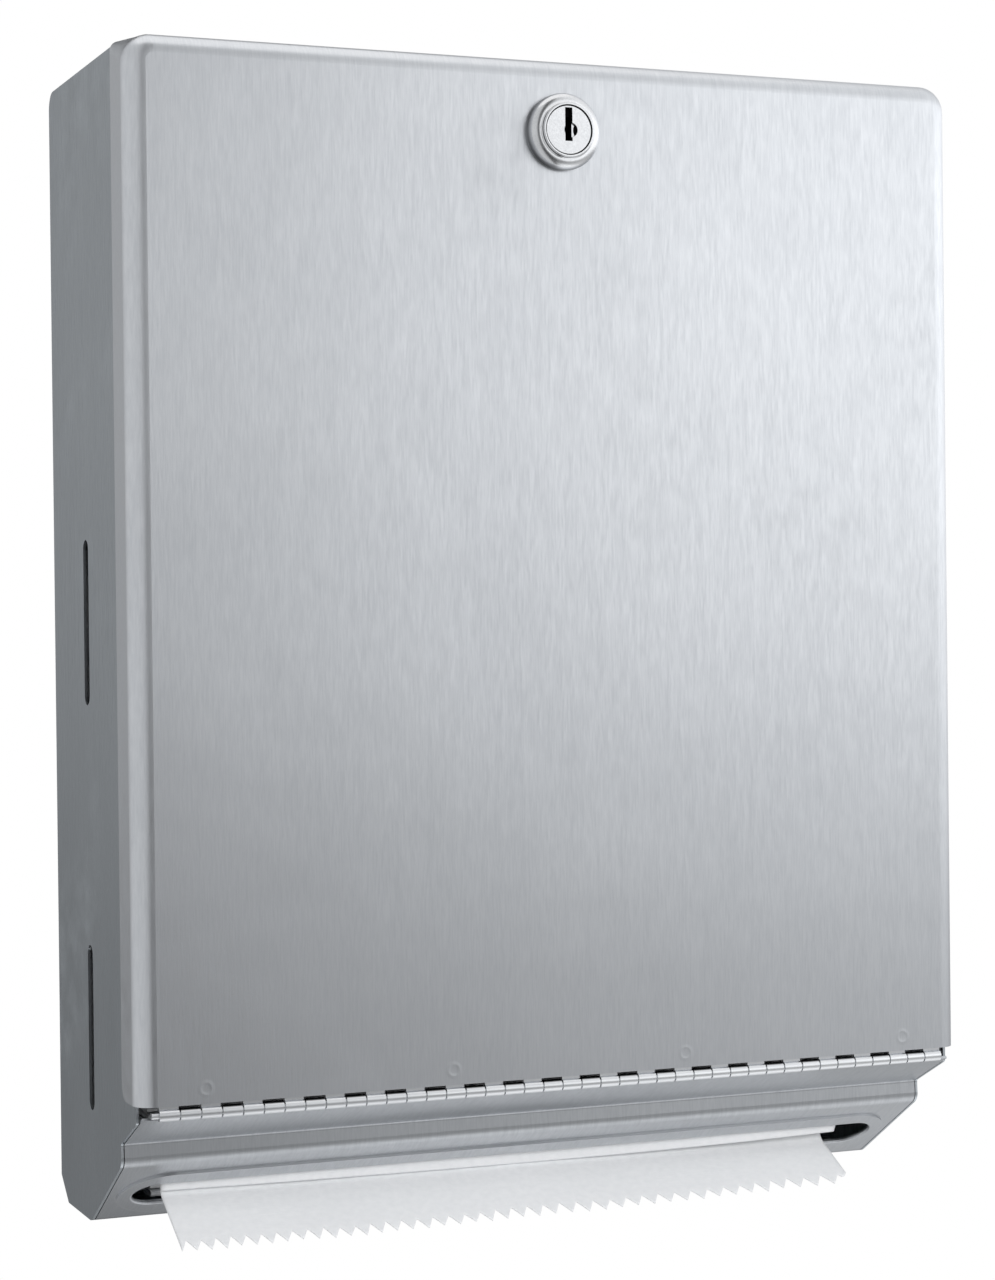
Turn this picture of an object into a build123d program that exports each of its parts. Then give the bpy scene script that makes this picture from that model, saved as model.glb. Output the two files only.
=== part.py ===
from build123d import *
import math
import os

# Folded-towel dispenser for a wall: X to the right, Y into the wall, Z up, wall plane at Y = 0.
# The origin is the centre of the four wall screws. All lengths are millimetres.

# Sheet metal, clearances and cuts
sheet = 0.8
bend_radius = 1.0
running_gap = 0.3
fit_gap = 0.05
paper_gap = 0.4
overrun = 2.0

# Door: one drawn pan with flanges at left, right and top
overall_width = 273.0
overall_depth = 101.6
door_height = 311.2
door_flange_depth = 18.0
door_edge_radius = 6.0
door_edge_straight = 0.5
door_corner_radius = 8.5
door_back_radius = 3.0
flange_corner_radius = 5.0

# Piano hinge along the door's lower edge
hinge_inset = 6.3
hinge_drop = 2.6
hinge_back = 1.2
knuckle_length = 6.35
knuckle_diameter = 3.6
knuckle_gap = 0.45
hinge_pin_diameter = 2.0
pin_reach = 2.0
leaf_sheet = 0.75
leaf_width = 14.0
leaf_notch_gap = 0.9

# Cabinet: bent wrap for top, back and bottom, and two flat sides
tray_drop = 41.8
side_setback = 6.2
side_return = 7.0
return_end_gap = 12.0
top_lip = 8.0
top_back_radius = 4.7
chamfer_depth = 9.5
chamfer_height = 7.5
screw_hole_diameter = 5.6
screw_spacing_x = 190.5
screw_spacing_z = 254.0

# Refill sight slots in the sides
sight_slot_width = 6.4
sight_slot_length = 50.8
sight_slot_out = 42.3
lower_slot_rise = 18.4
sight_slot_spacing = 124.7

# Towel tray: ledge behind the hinge, valley, nose, slope with the hemmed towel slot
ledge_angle = 26.0
ledge_offset = 0.5
tray_edge_gap = 0.8
tray_side_gap = 0.3
valley_back = 23.1
nose_forward = 0.4
nose_height = 6.3
nose_radius = 3.0
slope_run = 38.1
slope_end_radius = 5.0
tray_strip = 6.0
slot_end_gap = 7.6
slot_height = 16.0
slot_centre_share = 0.538
hem_width = 7.0
hem_end_width = 4.5
hem_sheet = 0.8
hem_edge_radius = 0.7

# Lock: barrel, domed collar, plug, wafers, nut and cam
lock_drop = 22.5
rim_height = 5.8
barrel_diameter = 16.8
barrel_length = 18.1
barrel_flange_diameter = 20.0
barrel_flange = 1.2
barrel_hole_gap = 0.15
rim_edge_radius = 0.3
collar_diameter = 23.4
collar_height = 4.7
collar_foot = 2.0
collar_top_diameter = 17.6
collar_shoulder = 4.4
collar_bulge_share = 0.7
plug_recess = 0.4
plug_head = 1.8
plug_head_diameter = 14.8
plug_head_gap = 0.3
plug_diameter = 12.0
plug_tail_width = 7.0
plug_tail_short = 0.1
keyhole_width = 2.4
keyhole_up = 6.8
keyhole_down = 3.4
keyway_up = 4.2
key_recess_diameter = 4.4
key_recess_right = 0.7
key_recess_depth = 0.8
washer_diameter = 23.0
washer_sheet = 0.8
nut_width = 22.0
nut_height = 4.0

# Wafers and their springs, inside the plug
wafer_count = 5
wafer_sheet = 0.9
wafer_pitch = 1.8
wafer_start = 2.0
wafer_width = 6.6
wafer_short = 0.15
wafer_window_width = 3.0
wafer_window_gap = 0.3
wafer_travel = 0.8
wafer_slack = 0.1
lug_reach = 1.4
lug_height = 1.0
lug_rise = 0.5
spring_diameter = 0.9
spring_wire = 0.3
spring_length = 3.0
spring_turns = 5

# Cam, its washer and screw, and the keeper that it catches
cam_sheet = 2.0
cam_gap = 0.1
cam_hub_diameter = 15.0
cam_arm_width = 10.0
cam_reach = 18.5
cam_washer_diameter = 10.0
cam_washer_sheet = 0.8
screw_diameter = 4.0
screw_head_diameter = 7.2
screw_head_height = 2.2
screw_depth = 4.6
screw_slot_width = 1.0
screw_slot_depth = 1.1
keeper_sheet = 1.2
keeper_gap = 0.5
keeper_drop = 11.5
keeper_length = 16.0
keeper_width = 32.0

# Towels: a stack on the tray, one towel hanging out and the next one's fold behind the lip
towel_side_gap = 17.1
towel_offset = -2.0
stack_front_back = 8.5
stack_back_gap = 11.7
stack_height = 190.0
channel_half_width = 9.0
channel_height = 55.0
paper_sheet = 0.4
drawn_left_shift = 1.5
hanging_left_short = 2.0
hanging_right_short = 5.0
towel_front_share = 0.36
towel_back_share = 0.08
bend_rise = 1.7
next_front_share = 0.70
next_fold_width = 1.6
next_peep = 2.4
tooth_pitch = 5.9
tooth_depth = 3.0
tooth_tip_trim = 0.2
corner_cut = 4.0

# The hanging towel's run at its left and right edge: bend out of the slot, straight run, droop
tail_turns = (64.0, 64.0)
tail_bend_radii = (5.0, 5.0)
tail_runs = (19.0, 15.2)
tail_droops = (10.0, 10.0)
tail_droop_radii = (40.0, 40.0)

# Levels and faces that several pieces share
overall_height = door_height + hinge_drop + tray_drop
top = overall_height / 2
bottom = -overall_height / 2
door_face = -overall_depth
door_inner = door_face + sheet
flange_back = door_face + door_flange_depth
door_bottom = top - door_height
axis_y = door_face + hinge_back
axis_z = door_bottom - hinge_drop
cabinet_top = top - sheet - running_gap
side_outer = overall_width / 2 - sheet - running_gap
side_inner = side_outer - sheet
side_front = door_face + side_setback
ledge_slope = math.radians(ledge_angle)

# Hinge pattern: an odd number of knuckles, the door's at both ends
hinge_length = overall_width - 2 * hinge_inset
knuckle_radius = knuckle_diameter / 2
knuckle_count = 2 * round((hinge_length / knuckle_length - 1) / 2) + 1
knuckle_pitch = hinge_length / knuckle_count


def ledge_level(y):
    """Height of the ledge's outer face at a depth."""
    return axis_z - ledge_offset / math.cos(ledge_slope) - (y - axis_y) * math.tan(ledge_slope)


# Corners of the tray's outer face, as (Y, Z)
edge_along = knuckle_radius + tray_edge_gap
tray_edge = (
    axis_y + edge_along * math.cos(ledge_slope) - ledge_offset * math.sin(ledge_slope),
    axis_z - edge_along * math.sin(ledge_slope) - ledge_offset * math.cos(ledge_slope),
)
valley = (axis_y + valley_back, ledge_level(axis_y + valley_back))
nose = (valley[0] - nose_forward, valley[1] - nose_height)
slope_end = (nose[0] + slope_run, bottom)
chamfer_front = (-chamfer_depth, bottom)
tray_end = (slope_end[0] + tray_strip, bottom)
slope_fall = (nose[1] - slope_end[1]) / slope_run
slope_angle = math.atan(slope_fall)


def slope_level(y):
    """Height of the tray's sloping outer face at a depth."""
    return nose[1] - (y - nose[0]) * slope_fall


# The towel slot, centred on a share of the slope
slot_length = 2 * (side_inner - slot_end_gap)
slot_y = nose[0] + slope_run * slot_centre_share
slot_half_y = slot_height / 2 * math.cos(slope_angle)
slot_plane = Plane(
    origin=(0, slot_y, slope_level(slot_y)),
    x_dir=(1, 0, 0),
    z_dir=(0, -math.sin(slope_angle), -math.cos(slope_angle)),
)

# Lock stations along Y, from the rim back
lock_z = top - lock_drop
rim_front = door_face - rim_height
plug_front = rim_front + plug_recess
head_back = plug_front + plug_head
barrel_back = rim_front + barrel_length
cam_front = barrel_back + cam_gap
cam_back = cam_front + cam_sheet
cam_washer_back = cam_back + cam_washer_sheet
screw_front = cam_back - screw_depth
wafer_first = head_back + wafer_start
wafer_last = wafer_first + wafer_pitch * (wafer_count - 1) + wafer_sheet
barrel_radius = barrel_diameter / 2
plug_radius = plug_diameter / 2


def rounded_face(points, radii):
    """A flat face through the points, each corner rounded by its own radius where that isn't zero."""
    return make_face(FilletPolyline(*points, radius=radii, close=True))


def sideways(points, distance):
    """The points of an open outline, moved to its left by a distance."""
    headings = []
    for start, end in zip(points, points[1:]):
        headings.append(math.atan2(end[1] - start[1], end[0] - start[0]))
    before = [headings[0]] + headings
    after = headings + [headings[-1]]
    moved = []
    for (y, z), first, second in zip(points, before, after):
        middle = (first + second) / 2
        stretch = distance / math.cos((second - first) / 2)
        moved.append((y - stretch * math.sin(middle), z + stretch * math.cos(middle)))
    return moved


def turns_left(before, corner, after):
    """Whether an outline turns to its left at a corner."""
    into = (corner[0] - before[0], corner[1] - before[1])
    out = (after[0] - corner[0], after[1] - corner[1])
    return into[0] * out[1] > into[1] * out[0]


def bent_sheet(points, inside_radii):
    """Section of a sheet bent along an outline, which is its right-hand face."""
    right_radii = []
    left_radii = []
    for before, corner, after, inside in zip(points, points[1:], points[2:], inside_radii):
        left = turns_left(before, corner, after)
        right_radii.append(inside + sheet if left else inside)
        left_radii.append(inside if left else inside + sheet)
    outline = points + sideways(points, sheet)[::-1]
    radii = [0] + right_radii + [0, 0] + left_radii[::-1] + [0]
    return rounded_face(outline, radii)


def across(face, start, end):
    """A section in the Y-Z plane carried across X from start to end."""
    return extrude(Plane((start, 0, 0), x_dir=(0, 1, 0), z_dir=(1, 0, 0)) * face, amount=end - start)


def along_y(face, front, back, x=0, z=lock_z):
    """A section in the X-Z plane, on the lock's axis or another one, carried along Y."""
    return extrude(Plane((x, back, z), x_dir=(1, 0, 0), z_dir=(0, -1, 0)) * face, amount=back - front)


def block(low, high):
    """A box between two corners."""
    size = [b - a for a, b in zip(low, high)]
    return Pos(*low) * Box(*size, align=(Align.MIN, Align.MIN, Align.MIN))


def save(name, shape):
    """Write one piece under its own name."""
    export_step(shape, f"parts/{name}.step")


# Cabinet


def cabinet_wrap():
    """Top with a folded front lip, back with screw holes, chamfer and bottom, bent from one sheet."""
    outline = [
        (tray_end[0], bottom),
        chamfer_front,
        (0, bottom + chamfer_height),
        (0, cabinet_top),
        (side_front, cabinet_top),
        (side_front, cabinet_top - top_lip),
    ]
    wrap = across(
        bent_sheet(outline, [bend_radius, bend_radius, top_back_radius, bend_radius]),
        -side_inner,
        side_inner,
    )
    hole = Circle(screw_hole_diameter / 2)
    for x in (-screw_spacing_x / 2, screw_spacing_x / 2):
        for z in (-screw_spacing_z / 2, screw_spacing_z / 2):
            wrap -= along_y(hole, -sheet - overrun, overrun, x, z)
    return trim_to_door(wrap)


def side_panel(side):
    """Flat side with two sight slots and its front edge folded in. Side is -1 at left, 1 at right."""
    outer = [
        (side_front, cabinet_top),
        (side_front, ledge_level(side_front)),
        valley,
        nose,
        slope_end,
        chamfer_front,
        (0, bottom + chamfer_height),
        (0, cabinet_top),
    ]
    radii = [
        0,
        bend_radius,
        bend_radius,
        nose_radius + sheet,
        slope_end_radius + sheet,
        bend_radius,
        bend_radius,
        top_back_radius + sheet,
    ]
    near, far = sorted((side * side_inner, side * side_outer))
    panel = across(rounded_face(outer, radii), near, far)
    slot = SlotOverall(sight_slot_length, sight_slot_width, rotation=90)
    for rise in (lower_slot_rise, lower_slot_rise + sight_slot_spacing):
        panel -= across(Pos(-sight_slot_out, axis_z + rise) * slot, near - overrun, far + overrun)
    near, far = sorted((side * (side_inner - side_return), side * side_inner))
    panel += block(
        (near, side_front, axis_z + return_end_gap),
        (far, side_front + sheet, cabinet_top - top_lip - running_gap),
    )
    return trim_to_door(panel)


def towel_tray():
    """Bent tray: ledge, valley, nose, slope and bottom strip, with a hem folded out round the slot."""
    outline = [tray_edge, valley, nose, slope_end, tray_end]
    half = side_inner - tray_side_gap
    tray = across(bent_sheet(outline, [bend_radius, nose_radius, slope_end_radius]), -half, half)
    hem = SlotOverall(slot_length + 2 * hem_end_width, slot_height + 2 * hem_width)
    opening = SlotOverall(slot_length, slot_height)
    tray += extrude(slot_plane * hem, amount=hem_sheet)
    tray -= extrude(slot_plane * opening, amount=overrun, both=True)
    lips = [
        edge
        for edge in tray.edges()
        if abs(slot_plane.to_local_coords(edge.center()).Y) <= slot_height / 2 + fit_gap
        and abs(slot_plane.to_local_coords(edge.center()).X) <= slot_length / 2 + fit_gap
        and slot_plane.to_local_coords(edge.bounding_box()).size.Z < fit_gap
    ]
    return fillet(lips, hem_edge_radius)


def lock_keeper():
    """Angle bracket under the cabinet's top. Its upright leg stands in front of the turned cam."""
    under = cabinet_top - sheet
    back = cam_front - keeper_gap
    front = back - keeper_sheet
    outline = [
        (front, under - keeper_drop),
        (back, under - keeper_drop),
        (back, under - keeper_sheet),
        (front + keeper_length, under - keeper_sheet),
        (front + keeper_length, under),
        (front, under),
    ]
    radii = [0, 0, bend_radius, 0, 0, bend_radius + keeper_sheet]
    return across(rounded_face(outline, radii), -keeper_width / 2, keeper_width / 2)


# Piano hinge


def knuckle_spans(first):
    """Start and end of every second knuckle, counted from the first one."""
    spans = []
    for index in range(first, knuckle_count, 2):
        start = -hinge_length / 2 + index * knuckle_pitch
        spans.append((start + knuckle_gap / 2, start + knuckle_pitch - knuckle_gap / 2))
    return spans


def hinge_leaf(plate, own_first, other_first):
    """A leaf plate with its own knuckles, notched round the other leaf's and bored for the pin."""
    middle = Pos(axis_y, axis_z)
    notch = middle * Circle(knuckle_radius + leaf_notch_gap)
    leaf = plate
    for start, end in knuckle_spans(other_first):
        leaf -= across(notch, start - knuckle_gap, end + knuckle_gap)
    for start, end in knuckle_spans(own_first):
        leaf += across(middle * Circle(knuckle_radius), start, end)
    bore = middle * Circle(hinge_pin_diameter / 2 + fit_gap)
    return leaf - across(bore, -hinge_length / 2 - overrun, hinge_length / 2 + overrun)


def door_hinge_leaf():
    """Upper leaf, flat behind the door's face."""
    ends = hinge_length / 2 - knuckle_gap / 2
    plate = block((-ends, door_inner, axis_z), (ends, door_inner + leaf_sheet, axis_z + leaf_width))
    return hinge_leaf(plate, 0, 1)


def tray_hinge_leaf():
    """Lower leaf, lying on the tray's ledge."""
    ends = hinge_length / 2 - knuckle_gap / 2
    strip = Pos(axis_y, axis_z) * Rot(0, 0, -ledge_angle) * Pos(0, sheet - ledge_offset)
    plate = across(
        strip * Rectangle(leaf_width, leaf_sheet, align=(Align.MIN, Align.MIN)), -ends, ends
    )
    return hinge_leaf(plate, 1, 0)


def hinge_pin():
    """Pin through every knuckle, its end standing out at the left."""
    pin = Pos(axis_y, axis_z) * Circle(hinge_pin_diameter / 2)
    return across(pin, -hinge_length / 2 - pin_reach, hinge_length / 2)


# Door


def pan_outline(inset, corner_radius):
    """Front outline of the door, drawn in by an inset, its upper corners rounded, long at the foot."""
    half = overall_width / 2 - inset
    low = door_bottom - door_corner_radius
    points = [(-half, low), (half, low), (half, top - inset), (-half, top - inset)]
    radius = corner_radius - inset
    return rounded_face(points, [0, 0, radius, radius])


def pan(inset):
    """Solid form of the door, drawn in by an inset: round corners in front, near sharp ones behind."""
    joint = door_face + door_edge_radius + door_edge_straight
    front_outline = pan_outline(inset, door_corner_radius)
    form = along_y(front_outline, door_face + inset, joint, 0, 0)
    rim = form.faces().sort_by(Axis.Y)[0].edges().sort_by(Axis.Z)[1:]
    form = fillet(rim, door_edge_radius - inset)
    sections = []
    for y, outline in ((joint, front_outline), (flange_back, pan_outline(inset, door_back_radius))):
        sections.append(Plane((0, y, 0), x_dir=(1, 0, 0), z_dir=(0, -1, 0)) * outline)
    return form + loft(sections, ruled=True)


def trim_to_door(piece):
    """Cut a cabinet piece's front corners back to the inside of the closed door."""
    half = overall_width / 2 + overrun
    shell = block((-half, door_face - overrun, door_bottom), (half, flange_back, top + overrun))
    return piece - (shell - pan(sheet + running_gap))


def door_panel():
    """Pan with rolled edges, its side flanges' lower corners rounded, and a hole for the lock."""
    door = pan(0) - pan(sheet)
    half = overall_width / 2
    door -= block(
        (-half - overrun, door_face - overrun, door_bottom - 2 * door_corner_radius),
        (half + overrun, flange_back + overrun, door_bottom),
    )
    corners = door.edges().filter_by(Axis.X).group_by(Axis.Z)[0].group_by(Axis.Y)[-1]
    door = fillet(corners, flange_corner_radius)
    hole = Circle(barrel_radius + barrel_hole_gap)
    return door - along_y(hole, door_face - overrun, door_inner + overrun)


# Lock


def lock_collar():
    """Domed trim ring on the door's face, hollow over the barrel's flange."""
    foot = collar_diameter / 2
    brow = collar_top_diameter / 2
    bore = barrel_radius + fit_gap
    pocket = barrel_flange_diameter / 2 + fit_gap
    pocket_depth = barrel_flange + fit_gap
    bulge = (
        brow + (foot - brow) * collar_bulge_share,
        collar_foot + (collar_shoulder - collar_foot) * collar_bulge_share,
    )
    dome = ThreePointArc((foot, collar_foot), bulge, (brow, collar_shoulder))
    edge = Polyline(
        (brow, collar_shoulder), (bore, collar_height), (bore, pocket_depth), (pocket, pocket_depth),
        (pocket, 0), (foot, 0), (foot, collar_foot)
    )
    section = make_face(dome + edge)
    turned = revolve(Plane.XZ * section, axis=Axis.Z)
    return Pos(0, door_face, lock_z) * Rot(90, 0, 0) * turned


def lock_body():
    """Barrel with a flange on the door's face, a recess for the plug's head and two wafer grooves."""
    body = along_y(Circle(barrel_radius), rim_front, barrel_back)
    rim = body.faces().sort_by(Axis.Y)[0].edges()
    body = fillet(rim, rim_edge_radius)
    body += along_y(Circle(barrel_flange_diameter / 2), door_face - barrel_flange, door_face)
    head = Circle(plug_head_diameter / 2 + plug_head_gap)
    body -= along_y(head, rim_front - overrun, head_back + fit_gap)
    body -= along_y(Circle(plug_radius + fit_gap), rim_front, barrel_back + overrun)
    groove_depth = plug_radius - wafer_short + wafer_travel + plug_head_gap
    groove_width = wafer_width + 2 * plug_head_gap
    upright = Rectangle(groove_width, groove_depth, align=(Align.CENTER, Align.MIN))
    sideways_groove = Rectangle(groove_depth, groove_width, align=(Align.MIN, Align.CENTER))
    for groove in (upright, sideways_groove):
        body -= along_y(groove, wafer_first - wafer_slack, wafer_last + wafer_slack)
    return body


def wafer_stations():
    """Front of each wafer along the lock."""
    return [wafer_first + index * wafer_pitch for index in range(wafer_count)]


def lug_section(gap, low, high):
    """Section of a wafer's spring lug at its right, widened by a gap, between two heights."""
    reach = wafer_width / 2 + lug_reach + gap
    return Pos(0, low) * Rectangle(reach, high - low, align=(Align.MIN, Align.MIN))


def lock_plug():
    """Turning plug: head with keyhole, barrel with keyway and wafer slots, square tail."""
    plug = along_y(Circle(plug_head_diameter / 2), plug_front, head_back)
    plug += along_y(Circle(plug_radius), head_back, barrel_back)
    plug += along_y(Rectangle(plug_tail_width, plug_tail_width), barrel_back, cam_back - plug_tail_short)
    keyhole = Pos(0, -keyhole_down) * Rectangle(
        keyhole_width, keyhole_up + keyhole_down, align=(Align.CENTER, Align.MIN)
    )
    keyway = Pos(0, -keyhole_down) * Rectangle(
        keyhole_width, keyway_up + keyhole_down, align=(Align.CENTER, Align.MIN)
    )
    plug -= along_y(keyhole, plug_front - overrun, head_back)
    plug -= along_y(keyway, plug_front, wafer_last)
    recess = Pos(key_recess_right, 0) * Circle(key_recess_diameter / 2)
    plug -= along_y(recess, plug_front - overrun, plug_front + key_recess_depth)
    slot = Rectangle(wafer_width + 2 * fit_gap, plug_diameter + overrun)
    lug_room = lug_section(
        fit_gap, lug_rise - spring_length - fit_gap, lug_rise + lug_height + wafer_travel + wafer_slack
    )
    for front in wafer_stations():
        for section in (slot, lug_room):
            plug -= along_y(section, front - wafer_slack / 2, front + wafer_sheet + wafer_slack / 2)
    screw_hole = Circle(screw_diameter / 2 + fit_gap)
    return plug - along_y(screw_hole, screw_front - fit_gap, cam_back + overrun)


def lock_wafers():
    """Wafer plates, drawn in as with the key in place, each with a key window and a spring lug."""
    plate = Circle(plug_radius - wafer_short) & Rectangle(wafer_width, plug_diameter)
    plate += lug_section(0, lug_rise, lug_rise + lug_height)
    window_height = keyway_up + keyhole_down + 2 * wafer_window_gap
    plate -= Pos(0, -keyhole_down - wafer_window_gap) * Rectangle(
        wafer_window_width, window_height, align=(Align.CENTER, Align.MIN)
    )
    return [along_y(plate, front, front + wafer_sheet) for front in wafer_stations()]


def wafer_springs():
    """One small coil spring under each wafer's lug."""
    mean_radius = (spring_diameter - spring_wire) / 2
    height = spring_length - spring_wire
    path = Helix(height / spring_turns, height, mean_radius)
    wire = Plane(path @ 0, z_dir=path % 0) * Circle(spring_wire / 2)
    coil = sweep(wire, path=path, is_frenet=True)
    x = wafer_width / 2 + lug_reach / 2
    z = lock_z + lug_rise - spring_length + spring_wire / 2
    return [Pos(x, front + wafer_sheet / 2, z) * coil for front in wafer_stations()]


def ring(outer_diameter, inner_diameter, front, back):
    """A flat ring on the lock's axis."""
    return along_y(Circle(outer_diameter / 2) - Circle(inner_diameter / 2), front, back)


def lock_washer():
    """Washer behind the door, round the barrel."""
    inner = barrel_diameter + 2 * barrel_hole_gap
    return ring(washer_diameter, inner, door_inner, door_inner + washer_sheet)


def lock_nut():
    """Hexagon nut on the barrel, behind the washer."""
    front = door_inner + washer_sheet
    hexagon = RegularPolygon(nut_width / 2, 6, major_radius=False, rotation=30)
    return along_y(hexagon - Circle(barrel_radius + fit_gap), front, front + nut_height)


def lock_cam():
    """Cam plate on the plug's square tail, its arm lying to the left while the door is unlocked."""
    arm = Pos(-cam_reach, 0) * SlotOverall(
        cam_reach + cam_arm_width / 2, cam_arm_width, align=(Align.MIN, Align.CENTER)
    )
    hole = Rectangle(plug_tail_width + 2 * fit_gap, plug_tail_width + 2 * fit_gap)
    return along_y(Circle(cam_hub_diameter / 2) + arm - hole, cam_front, cam_back)


def cam_screw():
    """Cheese-head screw that holds the cam and its washer on the tail."""
    head_back_y = cam_washer_back + screw_head_height
    screw = along_y(Circle(screw_diameter / 2), screw_front, cam_washer_back)
    screw += along_y(Circle(screw_head_diameter / 2), cam_washer_back, head_back_y)
    slot = Rectangle(screw_head_diameter + overrun, screw_slot_width)
    return screw - along_y(slot, head_back_y - screw_slot_depth, head_back_y + overrun)


# Towels

towel_left = towel_offset - side_inner + towel_side_gap
towel_right = towel_offset + side_inner - towel_side_gap
drawn_left = towel_left - drawn_left_shift
drawn_right = towel_right - drawn_left_shift
channel_top = bottom + channel_height
stack_front = axis_y + stack_front_back
stack_back = -sheet - stack_back_gap
ledge_lift = (sheet + leaf_sheet + paper_gap) / math.cos(ledge_slope)
slope_lift = (sheet + paper_gap) / math.cos(slope_angle)


def towel_stack():
    """Folded towels lying on the tray, with a channel over the slot where towels are drawn down."""
    channel_front = slot_y - channel_half_width
    channel_back = slot_y + channel_half_width
    stack_top = ledge_level(stack_front) + stack_height
    outline = [
        (stack_front, ledge_level(stack_front) + ledge_lift),
        (valley[0] + sheet + paper_gap, valley[1] + ledge_lift),
        (valley[0] + sheet + paper_gap, slope_level(valley[0]) + slope_lift),
        (channel_front, slope_level(channel_front) + slope_lift),
        (channel_front, channel_top),
        (channel_back, channel_top),
        (channel_back, slope_level(channel_back) + slope_lift),
        (stack_back, slope_level(channel_back) + slope_lift),
        (stack_back, stack_top),
        (stack_front, stack_top),
    ]
    return across(make_face(Polyline(*outline, close=True)), towel_left, towel_right)


def step(point, heading, distance):
    """A point moved along a heading, given in degrees from straight down towards the front."""
    turn = math.radians(heading)
    return (point[0] - distance * math.sin(turn), point[1] - distance * math.cos(turn))


def strip_side(start, turn, bend, run, droop, droop_radius, offset):
    """One face of the towel's section: straight down, bend forward, straight run, droop."""
    drop = start[1] - bend_start(start[0])
    lines = []
    point = step(start, 90, offset)
    end = step(point, 0, drop)
    lines.append(Line(point, end))
    centre = step(step(start, 0, drop), 90, bend)
    mid = step(centre, turn / 2 - 90, bend - offset)
    point = step(centre, turn - 90, bend - offset)
    lines.append(ThreePointArc(end, mid, point))
    end = step(point, turn, run)
    lines.append(Line(point, end))
    centre = step(end, turn - 90, droop_radius + offset)
    mid = step(centre, turn - droop / 2 + 90, droop_radius + offset)
    point = step(centre, turn - droop + 90, droop_radius + offset)
    lines.append(ThreePointArc(end, mid, point))
    return lines, point


def bend_start(y):
    """Level at which the hanging towel starts to bend forward, just inside the slot."""
    return slope_level(y) + bend_rise


def towel_section(index):
    """Section of the hanging towel at one edge, and the middle of its lower end."""
    share = (towel_front_share, towel_back_share)[index]
    start = (slot_y - share * slot_half_y, channel_top - paper_gap)
    run = (
        start, tail_turns[index], tail_bend_radii[index], tail_runs[index],
        tail_droops[index], tail_droop_radii[index]
    )
    front, front_end = strip_side(*run, paper_sheet / 2)
    back, back_end = strip_side(*run, -paper_sheet / 2)
    caps = [Line(front[0] @ 0, back[0] @ 0), Line(front_end, back_end)]
    middle = ((front_end[0] + back_end[0]) / 2, (front_end[1] + back_end[1]) / 2)
    return make_face(front + back + caps), middle


def hanging_towel():
    """Towel drawn through the slot: further out at its left, its lower edge torn to teeth."""
    sections = []
    ends = []
    for index, x in enumerate((drawn_left + hanging_left_short, drawn_right - hanging_right_short)):
        face, middle = towel_section(index)
        sections.append(Plane((x, 0, 0), x_dir=(0, 1, 0), z_dir=(1, 0, 0)) * face)
        ends.append(Vector(x, *middle))
    towel = loft(sections, ruled=True)
    along = (ends[1] - ends[0]).normalized()
    heading = math.radians(tail_turns[0] - tail_droops[0])
    down = Vector(0, -math.sin(heading), -math.cos(heading))
    tear = Plane(ends[0], x_dir=along, z_dir=along.cross(down))
    length = (ends[1] - ends[0]).length
    count = round(length / tooth_pitch)
    pitch = length / count
    outline = [(-overrun, overrun), (-overrun, -tooth_tip_trim)]
    for index in range(count):
        outline.append((index * pitch, -tooth_tip_trim))
        outline.append((index * pitch + pitch / 2, -tooth_depth))
    outline += [
        (length - corner_cut / 2, -corner_cut / 2),
        (length + overrun, -corner_cut - overrun),
        (length + overrun, overrun),
    ]
    teeth = extrude(tear * make_face(Polyline(*outline, close=True)), amount=tooth_depth, both=True)
    return towel - teeth


def next_towel():
    """Fold of the next towel, hanging just through the slot behind its front lip."""
    y = slot_y - next_front_share * slot_half_y
    low = slope_level(y) - next_peep
    height = channel_top - paper_gap - low
    outer = next_fold_width / 2
    inner = outer - paper_sheet
    fold = Rectangle(next_fold_width, height - outer, align=(Align.CENTER, Align.MIN)) + Circle(outer)
    hollow = Rectangle(2 * inner, height, align=(Align.CENTER, Align.MIN)) + Circle(inner)
    return across(Pos(y, low + outer) * (fold - hollow), drawn_left, drawn_right)


os.makedirs("parts", exist_ok=True)
save("cabinet_wrap", cabinet_wrap())
save("left_side_panel", side_panel(-1))
save("right_side_panel", side_panel(1))
save("towel_tray", towel_tray())
save("lock_keeper", lock_keeper())
save("tray_hinge_leaf", tray_hinge_leaf())
save("hinge_pin", hinge_pin())
save("door_hinge_leaf", door_hinge_leaf())
save("door_panel", door_panel())
save("lock_collar", lock_collar())
save("lock_body", lock_body())
save("lock_washer", lock_washer())
save("lock_nut", lock_nut())
save("lock_plug", lock_plug())
save("lock_wafers", Compound(children=lock_wafers()))
save("wafer_springs", Compound(children=wafer_springs()))
save("lock_cam", lock_cam())
save("cam_washer", ring(cam_washer_diameter, screw_diameter + 2 * fit_gap, cam_back, cam_washer_back))
save("cam_screw", cam_screw())
save("towel_stack", towel_stack())
save("next_towel", next_towel())
save("hanging_towel", hanging_towel())
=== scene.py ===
"""Looks and studio of a wall-mounted dispenser for folded paper towels.

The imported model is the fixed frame: X to the right, Y into the wall, Z up, wall plane at Y = 0, in metres.
"""

import logging
import math
from abc import ABC, abstractmethod
from dataclasses import dataclass, field, replace
from enum import Enum
from functools import lru_cache
from typing import Any

import bpy
import numpy as np
from mathutils import Matrix, Vector


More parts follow.
